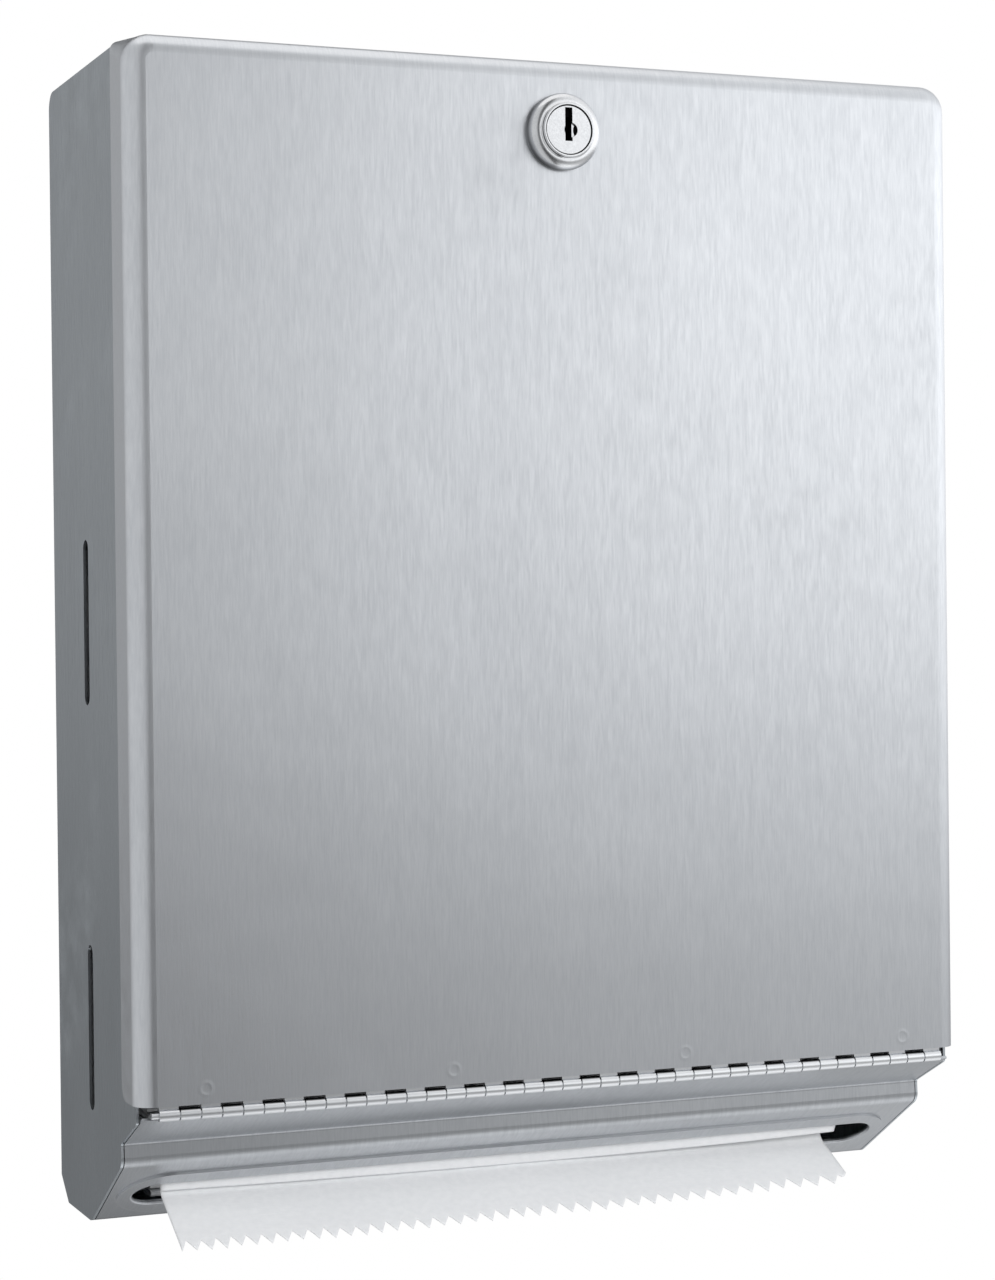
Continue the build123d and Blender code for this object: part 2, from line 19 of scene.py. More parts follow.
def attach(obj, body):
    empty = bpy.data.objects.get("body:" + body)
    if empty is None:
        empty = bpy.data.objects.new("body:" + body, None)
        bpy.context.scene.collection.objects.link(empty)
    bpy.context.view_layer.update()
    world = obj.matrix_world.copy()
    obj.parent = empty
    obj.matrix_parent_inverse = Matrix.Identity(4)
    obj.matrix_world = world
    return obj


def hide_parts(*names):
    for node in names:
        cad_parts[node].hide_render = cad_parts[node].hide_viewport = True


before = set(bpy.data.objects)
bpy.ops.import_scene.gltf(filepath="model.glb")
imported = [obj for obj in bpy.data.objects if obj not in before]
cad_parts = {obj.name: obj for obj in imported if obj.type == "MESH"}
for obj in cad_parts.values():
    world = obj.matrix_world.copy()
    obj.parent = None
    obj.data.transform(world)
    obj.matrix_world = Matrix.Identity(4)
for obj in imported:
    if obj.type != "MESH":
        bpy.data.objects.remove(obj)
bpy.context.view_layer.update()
LOG = logging.getLogger("towel_dispenser")

Colour = tuple[float, float, float]


class BrushLines(Enum):
    """Which way a finish's fine lines run, as the share of their density along X, Y and Z."""

    UPRIGHT_ON_FRONT = (1.0, 0.1, 0.09)
    UPRIGHT_ON_SIDES = (0.1, 1.0, 0.09)
    ALONG_WIDTH = (0.02, 1.0, 1.0)
    EVEN = (1.0, 1.0, 1.0)


class PatternSpace(Enum):
    """Where a paper's pattern is laid out: in the object's own space, or on its unrolled sheet."""

    OBJECT = "Object"
    SHEET = "UV"


def smooth_step(value: np.ndarray, low: float, high: float) -> np.ndarray:
    """Rise from 0 at low to 1 at high, level at both ends: 3t squared less 2t cubed.

    Args:
        value: Where the rise is read.
        low: Value at which it starts.
        high: Value at which it ends.

    Returns:
        The risen shares, shaped as value.
    """
    share = np.clip((value - low) / (high - low), 0.0, 1.0)
    return share * share * (3.0 - 2.0 * share)


def grid_faces(rows: int, columns: int, closed: bool = False) -> np.ndarray:
    """Quads between neighbouring points of a grid that is stored row by row.

    Args:
        rows: Number of rows of points.
        columns: Number of points in a row.
        closed: Whether the last point of a row joins its first.

    Returns:
        Vertex numbers, four for each quad.
    """
    numbers = np.arange(rows * columns).reshape(rows, columns)
    if closed:
        numbers = np.concatenate([numbers, numbers[:, :1]], axis=1)
    corners = [numbers[:-1, :-1], numbers[:-1, 1:], numbers[1:, 1:], numbers[1:, :-1]]
    return np.stack(corners, axis=-1).reshape(-1, 4)


def mesh_piece(name: str, points: np.ndarray, faces: list[list[int]]) -> bpy.types.Object:
    """A smooth-shaded mesh object at the origin, with its place in its mesh.

    Args:
        name: The piece's name.
        points: Its vertices, in metres.
        faces: Vertex numbers of each face.

    Returns:
        The new object, linked to the scene.
    """
    mesh = bpy.data.meshes.new(name)
    mesh.from_pydata(points.reshape(-1, 3).tolist(), [], faces)
    mesh.shade_smooth()
    piece = bpy.data.objects.new(name, mesh)
    bpy.context.scene.collection.objects.link(piece)
    return piece


def lay_flat_map(piece: bpy.types.Object, places: np.ndarray) -> None:
    """Give a sheet its own UV map, which holds each point's place on the flat sheet in metres.

    Args:
        piece: The sheet.
        places: Place across and along the sheet, two numbers for each vertex.
    """
    mesh = piece.data
    corners = np.empty(len(mesh.loops), dtype=np.int32)
    mesh.loops.foreach_get("vertex_index", corners)
    layer = mesh.uv_layers.new(name="flat_sheet")
    layer.uv.foreach_set("vector", places.reshape(-1, 2)[corners].astype(np.float32).ravel())


def thicken(piece: bpy.types.Object, thickness: float) -> None:
    """Give a sheet its thickness, half of it on each side.

    Args:
        piece: The sheet.
        thickness: Thickness of its paper.
    """
    wall = piece.modifiers.new("paper_thickness", "SOLIDIFY")
    wall.thickness = thickness
    wall.offset = 0.0


def walked_along(depths: np.ndarray, heights: np.ndarray) -> np.ndarray:
    """Length walked along a line up to each of its points: the sum of the straight steps before it.

    Args:
        depths: Depths of the points.
        heights: Their heights.

    Returns:
        One length for each point, from 0.
    """
    return np.concatenate([[0.0], np.cumsum(np.hypot(np.diff(depths), np.diff(heights)))])


def soft_waves(across: np.ndarray, waves: tuple[tuple[float, float, float], ...]) -> np.ndarray:
    """Soft waves in a sheet: a sum of sines, each with its weight, its count and its start in full turns.

    Args:
        across: Shares across the sheet.
        waves: Weight, count and start of each sine.

    Returns:
        Heights at those shares.
    """
    return sum(weight * np.sin(2 * np.pi * (count * across + start)) for weight, count, start in waves)


def turned(first: Vector, second: Vector, angle: float) -> tuple[Vector, Vector]:
    """Two square axes after a turn that brings the first towards the second.

    Args:
        first: The first axis.
        second: The second axis.
        angle: The turn, in degrees.

    Returns:
        Both axes after the turn.
    """
    cosine, sine = math.cos(math.radians(angle)), math.sin(math.radians(angle))
    return first * cosine + second * sine, second * cosine - first * sine


@dataclass
class NodeSheet:
    """A node tree that is filled one node at a time.

    Attributes:
        tree: The shader tree of a material, world or group.
    """

    tree: bpy.types.NodeTree

    def add(self, kind: str, inputs: dict[Any, Any] | None = None, **settings: Any) -> bpy.types.Node:
        """Add a node, with its settings, and its inputs linked or set.

        Args:
            kind: The node's type.
            inputs: Socket name or number, and the socket that feeds it or its plain value.
            **settings: Values of the node's own properties.

        Returns:
            The new node.
        """
        node = self.tree.nodes.new(kind)
        for name, value in settings.items():
            setattr(node, name, value)
        for key, value in (inputs or {}).items():
            self.feed(node.inputs[key], value)
        return node

    def feed(self, target: bpy.types.NodeSocket, value: Any) -> None:
        """Link an input to the socket that feeds it, or set its plain value.

        Args:
            target: The input.
            value: Socket that feeds it, or its plain value.
        """
        if isinstance(value, bpy.types.NodeSocket):
            self.tree.links.new(value, target)
        else:
            target.default_value = value

    def math(self, operation: str, *values: Any) -> bpy.types.NodeSocket:
        """Result of a Math node on sockets or plain numbers."""
        return self.add("ShaderNodeMath", dict(enumerate(values)), operation=operation).outputs[0]

    def hypot(self, first: Any, second: Any) -> bpy.types.NodeSocket:
        """Root of the sum of two squares."""
        squares = self.math("ADD", self.math("MULTIPLY", first, first), self.math("MULTIPLY", second, second))
        return self.math("SQRT", squares)

    def axes(self, place: bpy.types.NodeSocket) -> Any:
        """A place's X, Y and Z, by name."""
        return self.add("ShaderNodeSeparateXYZ", {0: place}).outputs

    def scaled(self, place: bpy.types.NodeSocket, factors: Any) -> bpy.types.NodeSocket:
        """A place multiplied axis by axis."""
        return self.add("ShaderNodeVectorMath", {0: place, 1: factors}, operation="MULTIPLY").outputs[0]

    def noise(self, vector: Any, scale: Any, detail: float = 2.0, rough: float = 0.5) -> bpy.types.NodeSocket:
        """Value of a 3-D noise at a place.

        Args:
            vector: Socket that gives the place.
            scale: Grains in a metre.
            detail: Number of finer layers.
            rough: Weight of each finer layer.

        Returns:
            The noise's value socket, from 0 to 1.
        """
        values = {"Vector": vector, "Scale": scale, "Detail": detail, "Roughness": rough}
        return self.add("ShaderNodeTexNoise", values).outputs[0]

    def spread(
        self, value: Any, low: float, high: float, to_low: float = 0.0, to_high: float = 1.0
    ) -> bpy.types.NodeSocket:
        """Map a value from one range to another, held at both ends.

        Args:
            value: Socket to map.
            low: Its value that gives to_low.
            high: Its value that gives to_high.
            to_low: Result at the low end.
            to_high: Result at the high end.

        Returns:
            The mapped value's socket.
        """
        values = {"Value": value, "From Min": low, "From Max": high, "To Min": to_low, "To Max": to_high}
        return self.add("ShaderNodeMapRange", values).outputs[0]

    def mix(self, factor: Any, first: Any, second: Any) -> bpy.types.NodeSocket:
        """Colour between two colours.

        Args:
            factor: Share of the second colour.
            first: Colour at a factor of 0, as a socket or three numbers.
            second: Colour at a factor of 1, as a socket or three numbers.

        Returns:
            The mixed colour's socket.
        """
        node = self.add("ShaderNodeMix", {"Factor": factor}, data_type="RGBA")
        for name, value in (("A", first), ("B", second)):
            target = next(item for item in node.inputs if item.name == name and item.type == "RGBA")
            self.feed(target, value if isinstance(value, bpy.types.NodeSocket) else (*value, 1.0))
        return next(item for item in node.outputs if item.type == "RGBA")

    def bump(self, height: Any, strength: float, distance: float, normal: Any = None) -> bpy.types.NodeSocket:
        """Normal tilted by a height.

        Args:
            height: Socket of the height, from 0 to 1.
            strength: Share of the bump that is used.
            distance: Height of a full bump, in metres.
            normal: Normal to start from, or None for the surface's own.

        Returns:
            The normal's socket.
        """
        values = {"Height": height, "Strength": strength, "Distance": distance}
        if normal is not None:
            values["Normal"] = normal
        return self.add("ShaderNodeBump", values).outputs[0]

    def use(self, group: bpy.types.NodeTree, **inputs: Any) -> dict[str, bpy.types.NodeSocket]:
        """Place a shared effect and return its outputs by name."""
        node = self.add("ShaderNodeGroup", inputs, node_tree=group)
        return {item.name: item for item in node.outputs}


def new_effect(name: str, inputs: dict[str, str], outputs: tuple[str, ...]) -> tuple[NodeSheet, Any, Any]:
    """An empty shader node group with its sockets.

    Args:
        name: The group's name.
        inputs: Names of its input sockets, each with the socket's type.
        outputs: Names of its output values.

    Returns:
        The group's sheet, its input node's outputs and its output node's inputs.
    """
    tree = bpy.data.node_groups.new(name, "ShaderNodeTree")
    for label, kind in inputs.items():
        tree.interface.new_socket(label, in_out="INPUT", socket_type=kind)
    for label in outputs:
        tree.interface.new_socket(label, in_out="OUTPUT", socket_type="NodeSocketFloat")
    sheet = NodeSheet(tree)
    return sheet, sheet.add("NodeGroupInput").outputs, sheet.add("NodeGroupOutput").inputs


def new_material(name: str) -> tuple[bpy.types.Material, NodeSheet, bpy.types.Node]:
    """A material with plain nodes.

    Args:
        name: The material's name.

    Returns:
        The material, its sheet and its shader.
    """
    material = bpy.data.materials.new(name)
    material.use_nodes = True
    return material, NodeSheet(material.node_tree), material.node_tree.nodes["Principled BSDF"]


@lru_cache(maxsize=None)
def brush_line_effect() -> bpy.types.NodeTree:
    """Fine lines of a brushed face: two noises, one four times as coarse, stretched along the lines.

    Returns:
        The group, which gives the lines from 0 in a groove to 1 on a crest.
    """
    sheet, given, wanted = new_effect(
        "brush_lines",
        {"Place": "NodeSocketVector", "Density": "NodeSocketVector"},
        ("Line",),
    )
    fine_share, coarse_share = 0.76, 0.24
    stretched = sheet.scaled(given["Place"], given["Density"])
    fine = sheet.noise(stretched, scale=1.0, detail=3.0, rough=0.65)
    coarse = sheet.noise(stretched, scale=0.24, detail=2.0)
    fine = sheet.math("MULTIPLY", fine, fine_share)
    both = sheet.math("ADD", fine, sheet.math("MULTIPLY", coarse, coarse_share))
    sheet.feed(wanted["Line"], sheet.spread(both, low=0.36, high=0.64))
    return sheet.tree


@lru_cache(maxsize=None)
def cloud_effect() -> bpy.types.NodeTree:
    """Soft uneven patches of a rolled or handled face, and the rarer smears that hands leave.

    Returns:
        The group, which gives both as shares from 0 to 1.
    """
    sheet, given, wanted = new_effect(
        "soft_clouds",
        {"Place": "NodeSocketVector", "Patches": "NodeSocketFloat"},
        ("Cloud", "Smear"),
    )
    place = given["Place"]
    patches = sheet.noise(place, given["Patches"], detail=3.0)
    sheet.feed(wanted["Cloud"], sheet.spread(patches, low=0.3, high=0.7))
    wide = sheet.spread(sheet.noise(place, scale=14.0, detail=1.0), low=0.52, high=0.72)
    ragged = sheet.spread(sheet.noise(place, scale=90.0, detail=4.0, rough=0.6), low=0.42, high=0.7)
    sheet.feed(wanted["Smear"], sheet.math("MULTIPLY", wide, ragged))
    return sheet.tree


@lru_cache(maxsize=None)
def weld_effect() -> bpy.types.NodeTree:
    """Round marks of spot welds in one level row: a shallow dish with a raised rim at each even station.

    Returns:
        The group, which gives the height of the dishes and the share of their rims.
    """
    sizes = ("First", "Spacing", "Level", "Radius")
    sheet, given, wanted = new_effect(
        "spot_welds",
        {"Place": "NodeSocketVector"} | dict.fromkeys(sizes, "NodeSocketFloat"),
        ("Dish", "Mark"),
    )
    axes = sheet.axes(given["Place"])
    half = sheet.math("MULTIPLY", given["Spacing"], 0.5)
    shifted = sheet.math("SUBTRACT", axes["X"], given["First"])
    along = sheet.math("WRAP", shifted, half, sheet.math("MULTIPLY", half, -1.0))
    rise = sheet.math("SUBTRACT", axes["Z"], given["Level"])
    reach = sheet.math("DIVIDE", sheet.hypot(along, rise), given["Radius"])
    inside = sheet.spread(reach, low=0.6, high=1.0)
    outside = sheet.spread(reach, low=1.0, high=1.5, to_low=1.0, to_high=0.0)
    rim = sheet.math("MULTIPLY", inside, outside)
    dish = sheet.spread(reach, low=0.2, high=0.9, to_high=0.6)
    sheet.feed(wanted["Mark"], rim)
    sheet.feed(wanted["Dish"], sheet.math("ADD", dish, rim))
    return sheet.tree


@lru_cache(maxsize=None)
def crepe_effect() -> bpy.types.NodeTree:
    """Creped paper: short ridges across the sheet from a stretched noise, and a soft mottle of fibres.

    Returns:
        The group, which gives the ridges' height and the mottle's share.
    """
    sheet, given, wanted = new_effect(
        "creped_paper",
        {"Place": "NodeSocketVector", "Ridges": "NodeSocketVector", "Fibres": "NodeSocketFloat"},
        ("Ridge", "Mottle"),
    )
    stretched = sheet.scaled(given["Place"], given["Ridges"])
    sheet.feed(wanted["Ridge"], sheet.noise(stretched, scale=1.0))
    fibres = sheet.noise(given["Place"], given["Fibres"], detail=4.0)
    sheet.feed(wanted["Mottle"], sheet.spread(fibres, low=0.3, high=0.7))
    return sheet.tree


@dataclass
class Look:
    """What a metal's look is put together from, one mark after another.

    Attributes:
        sheet: The material's nodes.
        place: Place in the object's own space.
        colour: Colour so far.
        rough: Roughness so far.
        normal: Normal so far.
    """

    sheet: NodeSheet
    place: bpy.types.NodeSocket
    colour: bpy.types.NodeSocket
    rough: bpy.types.NodeSocket
    normal: bpy.types.NodeSocket


class Mark(ABC):
    """Something that shows at one place on a metal piece."""

    @abstractmethod
    def add_to(self, look: Look) -> None:
        """Work the mark into a look.

        Args:
            look: The look, which is changed.
        """


@dataclass(frozen=True)
class WeldRow(Mark):
    """Faint round marks of spot welds in one level row.

    Attributes:
        first: Place of one weld across the piece.
        spacing: Distance between two welds.
        level: Height of the row.
        radius: Radius of a mark.
        depth: Depth of its dish.
        strength: Share of the dish that shows.
        dull: How far its rim is rougher.
    """

    first: float
    spacing: float
    level: float
    radius: float
    depth: float
    strength: float = 0.5
    dull: float = 0.02

    def add_to(self, look: Look) -> None:
        """Dish the normal and dull the rim of each mark.

        Args:
            look: The look, which is changed.
        """
        sheet = look.sheet
        sizes = {"First": self.first, "Spacing": self.spacing, "Level": self.level, "Radius": self.radius}
        weld = sheet.use(weld_effect(), Place=look.place, **sizes)
        look.normal = sheet.bump(weld["Dish"], self.strength, self.depth, look.normal)
        look.rough = sheet.math("ADD", look.rough, sheet.math("MULTIPLY", weld["Mark"], self.dull))


@dataclass(frozen=True)
class FlangeLean(Mark):
    """Slight lean of a drawn pan's flanges, which open towards the back.

    Attributes:
        slope: How far a flange leans out for each metre of depth.
    """

    slope: float

    def add_to(self, look: Look) -> None:
        """Tilt the normal by a height that grows with depth."""
        depth = look.sheet.axes(look.place)["Y"]
        look.normal = look.sheet.bump(depth, 1.0, self.slope, look.normal)


@dataclass(frozen=True)
class PaintedShadeHollow(Mark):
    """Painted shade in the unlit inside or at the foot of a lock's part: a ring or disc about an axis along
    Y.

    Attributes:
        axis: Place of the axis across and up.
        radius: Outer radius of the dark.
        front: Depth at which it starts.
        back: Depth at which it ends.
        inner: Inner radius of the dark.
        soft: Depth over which it starts.
        dull: Least roughness in it.
        shade: Colour of the painted shade.
    """

    axis: tuple[float, float]
    radius: float
    front: float
    back: float
    inner: float = 0.0
    soft: float = 0.0002
    dull: float = 0.6
    shade: Colour = (0.012, 0.012, 0.013)

    def add_to(self, look: Look) -> None:
        """Paint shade over, and dull, what lies between the two radii, and between front and back.

        Args:
            look: The look, which is changed.
        """
        sheet = look.sheet
        axes = sheet.axes(look.place)
        aside = sheet.math("SUBTRACT", axes["X"], self.axis[0])
        above = sheet.math("SUBTRACT", axes["Z"], self.axis[1])
        reach = sheet.hypot(aside, above)
        wide = sheet.math("LESS_THAN", reach, self.radius)
        ring = sheet.math("MULTIPLY", wide, sheet.math("LESS_THAN", self.inner, reach))
        behind = sheet.spread(axes["Y"], self.front, self.front + self.soft)
        before = sheet.math("LESS_THAN", axes["Y"], self.back)
        inside = sheet.math("MULTIPLY", ring, sheet.math("MULTIPLY", behind, before))
        # painted shade: the colour is mixed towards the dark shade inside the ring
        look.colour = sheet.mix(inside, look.colour, self.shade)
        look.rough = sheet.math("MAXIMUM", look.rough, sheet.math("MULTIPLY", inside, self.dull))


@dataclass(frozen=True)
class PaintedShadowLine(Mark):
    """Level line of painted shadow where a hinge's knuckles meet the edge above them.

    Attributes:
        low: Height at which the line starts.
        high: Height at which it ends.
        soft: Width of its soft edges.
        dull: Least roughness in it.
        shade: Colour of the painted shadow.
    """

    low: float
    high: float
    soft: float
    dull: float = 0.6
    shade: Colour = (0.03, 0.03, 0.032)

    def add_to(self, look: Look) -> None:
        """Paint shadow over, and dull, the heights between low and high.

        Args:
            look: The look, which is changed.
        """
        sheet = look.sheet
        height = sheet.axes(look.place)["Z"]
        above = sheet.spread(height, self.low, self.low + self.soft)
        below = sheet.spread(height, self.high, self.high + self.soft, to_low=1.0, to_high=0.0)
        # painted shadow: a dark band over the knuckles' tops and the leaf above them
        shadow_band = sheet.math("MULTIPLY", above, below)
        look.colour = sheet.mix(shadow_band, look.colour, self.shade)
        look.rough = sheet.math("MAXIMUM", look.rough, sheet.math("MULTIPLY", shadow_band, self.dull))


@dataclass(frozen=True)
class PaintedHemEdge(Mark):
    """Dull edge of a hem with round ends, which is folded out of a sloping sheet.

    Attributes:
        middle: Depth and height of the hem's centre on the sheet's face.
        slope: Angle by which the sheet falls towards the back, in degrees.
        half_length: Half of the hem's length.
        radius: Radius of its ends, which is half of its height.
        width: Width of the edge.
        shade: Colour painted on the edge, for its light and shade.
        fade_shares: Where the edge starts and ends to fade, as shares of its width.
    """

    middle: tuple[float, float]
    slope: float
    half_length: float
    radius: float
    width: float
    shade: Colour = (0.62, 0.634, 0.655)
    fade_shares: tuple[float, float] = (0.25, 0.75)

    def add_to(self, look: Look) -> None:
        """Paint the places near the hem's outline with that colour, by their distance to it on the sloping
        face.

        Args:
            look: The look, which is changed.
        """
        sheet = look.sheet
        axes = sheet.axes(look.place)
        angle = math.radians(self.slope)
        back = sheet.math("MULTIPLY", sheet.math("SUBTRACT", axes["Y"], self.middle[0]), math.cos(angle))
        down = sheet.math("MULTIPLY", sheet.math("SUBTRACT", axes["Z"], self.middle[1]), -math.sin(angle))
        along = sheet.math("ADD", back, down)
        beyond = sheet.math("SUBTRACT", sheet.math("ABSOLUTE", axes["X"]), self.half_length - self.radius)
        beyond = sheet.math("MAXIMUM", beyond, 0.0)
        away = sheet.math("ABSOLUTE", sheet.math("SUBTRACT", sheet.hypot(beyond, along), self.radius))
        full, none = (self.width * share for share in self.fade_shares)
        # painted light and shade: one flat colour near the hem's outline
        edge = sheet.spread(away, full, none, to_low=1.0, to_high=0.0)
        look.colour = sheet.mix(edge, look.colour, self.shade)


@dataclass(frozen=True)
class MetalFinish:
    """A bare or plated metal with fine lines, soft patches and faint smears.

    Attributes:
        name: Name of the material.
        slot: The record's slot that it stands for; not used.
        light: Colour on the lines' crests.
        dark: Colour in the lines.
        roughness: Roughness of the clean face.
        uneven: How far the lines change the roughness.
        smear: How far a smear dulls the face.
        stretch: How far the lines stretch the gloss across them.
        lines: Which way the lines run.
        lines_per_metre: How close the lines lie.
        line_depth: Depth of the lines, in metres.
        line_strength: Share of that depth that shows.
        line_share: Share of the lines in the colour, beside the soft patches.
        patches: Soft patches in a metre.
        wave_depth: Depth of the slow waves in the sheet, in metres.
        wave_strength: Share of that depth that shows.
        marks: What shows at single places.
    """

    name: str
    slot: str
    light: Colour
    dark: Colour
    roughness: float = 0.32
    uneven: float = 0.07
    smear: float = 0.06
    stretch: float = 0.55
    lines: BrushLines = BrushLines.UPRIGHT_ON_FRONT
    lines_per_metre: float = 1700.0
    line_depth: float = 0.00001
    line_strength: float = 0.5
    line_share: float = 0.7
    patches: float = 11.0
    wave_depth: float = 0.0003
    wave_strength: float = 0.6
    marks: tuple[Mark, ...] = ()

    def material(self) -> bpy.types.Material:
        """Build the finish's nodes: colour, roughness and normal from the shared effects.

        Returns:
            The new material.
        """
        made, sheet, shader = new_material(self.name)
        place = sheet.add("ShaderNodeTexCoord").outputs["Object"]
        density = tuple(self.lines_per_metre * share for share in self.lines.value)
        line = sheet.use(brush_line_effect(), Place=place, Density=density)["Line"]
        clouds = sheet.use(cloud_effect(), Place=place, Patches=self.patches)
        patch = sheet.math("MULTIPLY", clouds["Cloud"], 1.0 - self.line_share)
        tone = sheet.math("ADD", sheet.math("MULTIPLY", line, self.line_share), patch)
        colour = sheet.mix(tone, self.dark, self.light)
        groove, crest = self.roughness + self.uneven / 2, self.roughness - self.uneven / 2
        rough = sheet.spread(line, 0.0, 1.0, to_low=groove, to_high=crest)
        rough = sheet.math("ADD", rough, sheet.math("MULTIPLY", clouds["Smear"], self.smear))
        normal = sheet.bump(clouds["Cloud"], self.wave_strength, self.wave_depth)
        normal = sheet.bump(line, self.line_strength, self.line_depth, normal)
        look = Look(sheet, place, colour, rough, normal)
        for mark in self.marks:
            mark.add_to(look)
        sheet.feed(shader.inputs["Base Color"], look.colour)
        sheet.feed(shader.inputs["Roughness"], look.rough)
        sheet.feed(shader.inputs["Normal"], look.normal)
        shader.inputs["Metallic"].default_value = 1.0
        shader.inputs["Anisotropic"].default_value = self.stretch
        return made


@dataclass(frozen=True)
class PaperFinish:
    """Matt creped paper.

    Attributes:
        name: Name of the material.
        slot: The record's slot that it stands for; not used.
        light: Colour of the clean sheet.
        dark: Colour between its fibres.
        space: Where the pattern is laid out.
        ridges: Ridges in a metre along the pattern's three axes.
        ridge_depth: Depth of the ridges, in metres.
        ridge_strength: Share of that depth that shows.
        fibres: Grains of the mottle in a metre.
        fibre_strength: Share of half the ridges' depth that shows in the mottle.
        rough: Roughness between the fibres and on the clean sheet.
        gloss: How far the paper mirrors.
        sheen: Soft light along its edges.
    """

    name: str
    slot: str
    light: Colour
    dark: Colour
    space: PatternSpace
    ridges: tuple[float, float, float]
    ridge_depth: float = 0.00012
    ridge_strength: float = 0.5
    fibres: float = 420.0
    fibre_strength: float = 0.3
    rough: tuple[float, float] = (0.95, 0.85)
    gloss: float = 0.25
    sheen: float = 0.08

    def material(self) -> bpy.types.Material:
        """Build the finish's nodes: mottled colour, and ridges and fibres in the normal.

        Returns:
            The new material.
        """
        made, sheet, shader = new_material(self.name)
        place = sheet.add("ShaderNodeTexCoord").outputs[self.space.value]
        crepe = sheet.use(crepe_effect(), Place=place, Ridges=self.ridges, Fibres=self.fibres)
        normal = sheet.bump(crepe["Ridge"], self.ridge_strength, self.ridge_depth)
        normal = sheet.bump(crepe["Mottle"], self.fibre_strength, self.ridge_depth / 2, normal)
        sheet.feed(shader.inputs["Base Color"], sheet.mix(crepe["Mottle"], self.dark, self.light))
        sheet.feed(shader.inputs["Normal"], normal)
        sheet.feed(shader.inputs["Roughness"], sheet.spread(crepe["Mottle"], 0.0, 1.0, *self.rough))
        shader.inputs["Specular IOR Level"].default_value = self.gloss
        shader.inputs["Sheen Weight"].default_value = self.sheen
        return made


STEEL_LIGHT = (0.815, 0.83, 0.855)
STEEL_DARK = (0.715, 0.733, 0.762)
LOCK_AXIS = (0.0, 0.1553)
# Painted shade round the lock collar's foot, where it meets the door.
LOCK_FOOT_SHADE = PaintedShadeHollow(
    LOCK_AXIS, radius=0.0125, front=-0.1048, back=-0.1, soft=0.0022, dull=0.2, shade=(0.25, 0.255, 0.265)
)
# Painted shade in the keyway behind the plug's face, and in the key's round recess.
KEY_CHANNEL_SHADE = (
    PaintedShadeHollow(LOCK_AXIS, radius=0.0079, front=-0.10685, back=-0.10628),
    PaintedShadeHollow(LOCK_AXIS, radius=0.0079, front=-0.10612, back=-0.1),
    PaintedShadeHollow((0.0045, 0.1553), radius=0.0028, front=-0.1066, back=-0.1060),
)
# Painted shade in the gap between plug and rim, and on the barrel's side below the rim.
LOCK_SEAM_SHADE = (
    PaintedShadeHollow(LOCK_AXIS, radius=0.00772, front=-0.1073, back=-0.1, inner=0.00728, shade=(0.05, 0.05, 0.052)),
    PaintedShadeHollow(
        LOCK_AXIS, radius=0.0090, front=-0.1070, back=-0.1, inner=0.0081, dull=0.3, shade=(0.12, 0.122, 0.126)
    ),
)
WRAP_STEEL = MetalFinish("satin_steel_wrap", "satin_stainless", STEEL_LIGHT, STEEL_DARK)
# Painted shade: a darker copy of the satin steel for the tray's underside, with painted light and shade round
# its hem.
SHADED_TRAY_STEEL = MetalFinish(
    "shaded_satin_steel_tray", "satin_stainless", (0.635, 0.65, 0.67), (0.55, 0.566, 0.588), roughness=0.38,
    marks=(PaintedHemEdge(middle=(-0.0572, -0.16686), slope=31.86, half_length=0.1315, radius=0.015, width=0.0012),),
)
SIDE_STEEL = MetalFinish(
    "satin_steel_sides", "satin_stainless", (0.73, 0.77, 0.803), (0.52, 0.552, 0.58),
    lines=BrushLines.UPRIGHT_ON_SIDES, line_share=0.8,
)
DOOR_STEEL = MetalFinish(
    "satin_steel_door", "satin_stainless", STEEL_LIGHT, STEEL_DARK,
    marks=(
        FlangeLean(slope=0.055),
        WeldRow(first=0.0387, spacing=0.0773, level=-0.1289, radius=0.0018, depth=0.00005),
    ),
)
HINGE_STEEL = MetalFinish(
    "bright_hinge_steel", "hinge_steel", (0.90, 0.91, 0.92), (0.80, 0.81, 0.83),
    roughness=0.3, stretch=0.3, lines=BrushLines.ALONG_WIDTH, wave_depth=0.00002,
)
# Hinge steel with a painted shadow line along the knuckles' tops.
TRAY_HINGE_STEEL = replace(
    HINGE_STEEL, name="shadowed_hinge_steel", marks=(PaintedShadowLine(low=-0.1349, high=-0.1333, soft=0.0004),)
)
LOCK_CHROME = MetalFinish(
    "satin_lock_chrome", "satin_chrome", (0.86, 0.865, 0.875), (0.78, 0.785, 0.80),
    roughness=0.2, stretch=0.0, lines=BrushLines.EVEN, lines_per_metre=1800.0, wave_depth=0.00001,
    marks=(LOCK_FOOT_SHADE,),
)
PLUG_CHROME = replace(
    LOCK_CHROME, name="satin_plug_chrome", dark=(0.76, 0.765, 0.78), roughness=0.24,
    marks=KEY_CHANNEL_SHADE + LOCK_SEAM_SHADE,
)
ZINC_PLATE = MetalFinish(
    "bright_zinc_plate", "zinc_steel", (0.74, 0.76, 0.80), (0.62, 0.64, 0.67),
    roughness=0.3, stretch=0.0, lines=BrushLines.EVEN, lines_per_metre=900.0, wave_depth=0.00002,
)
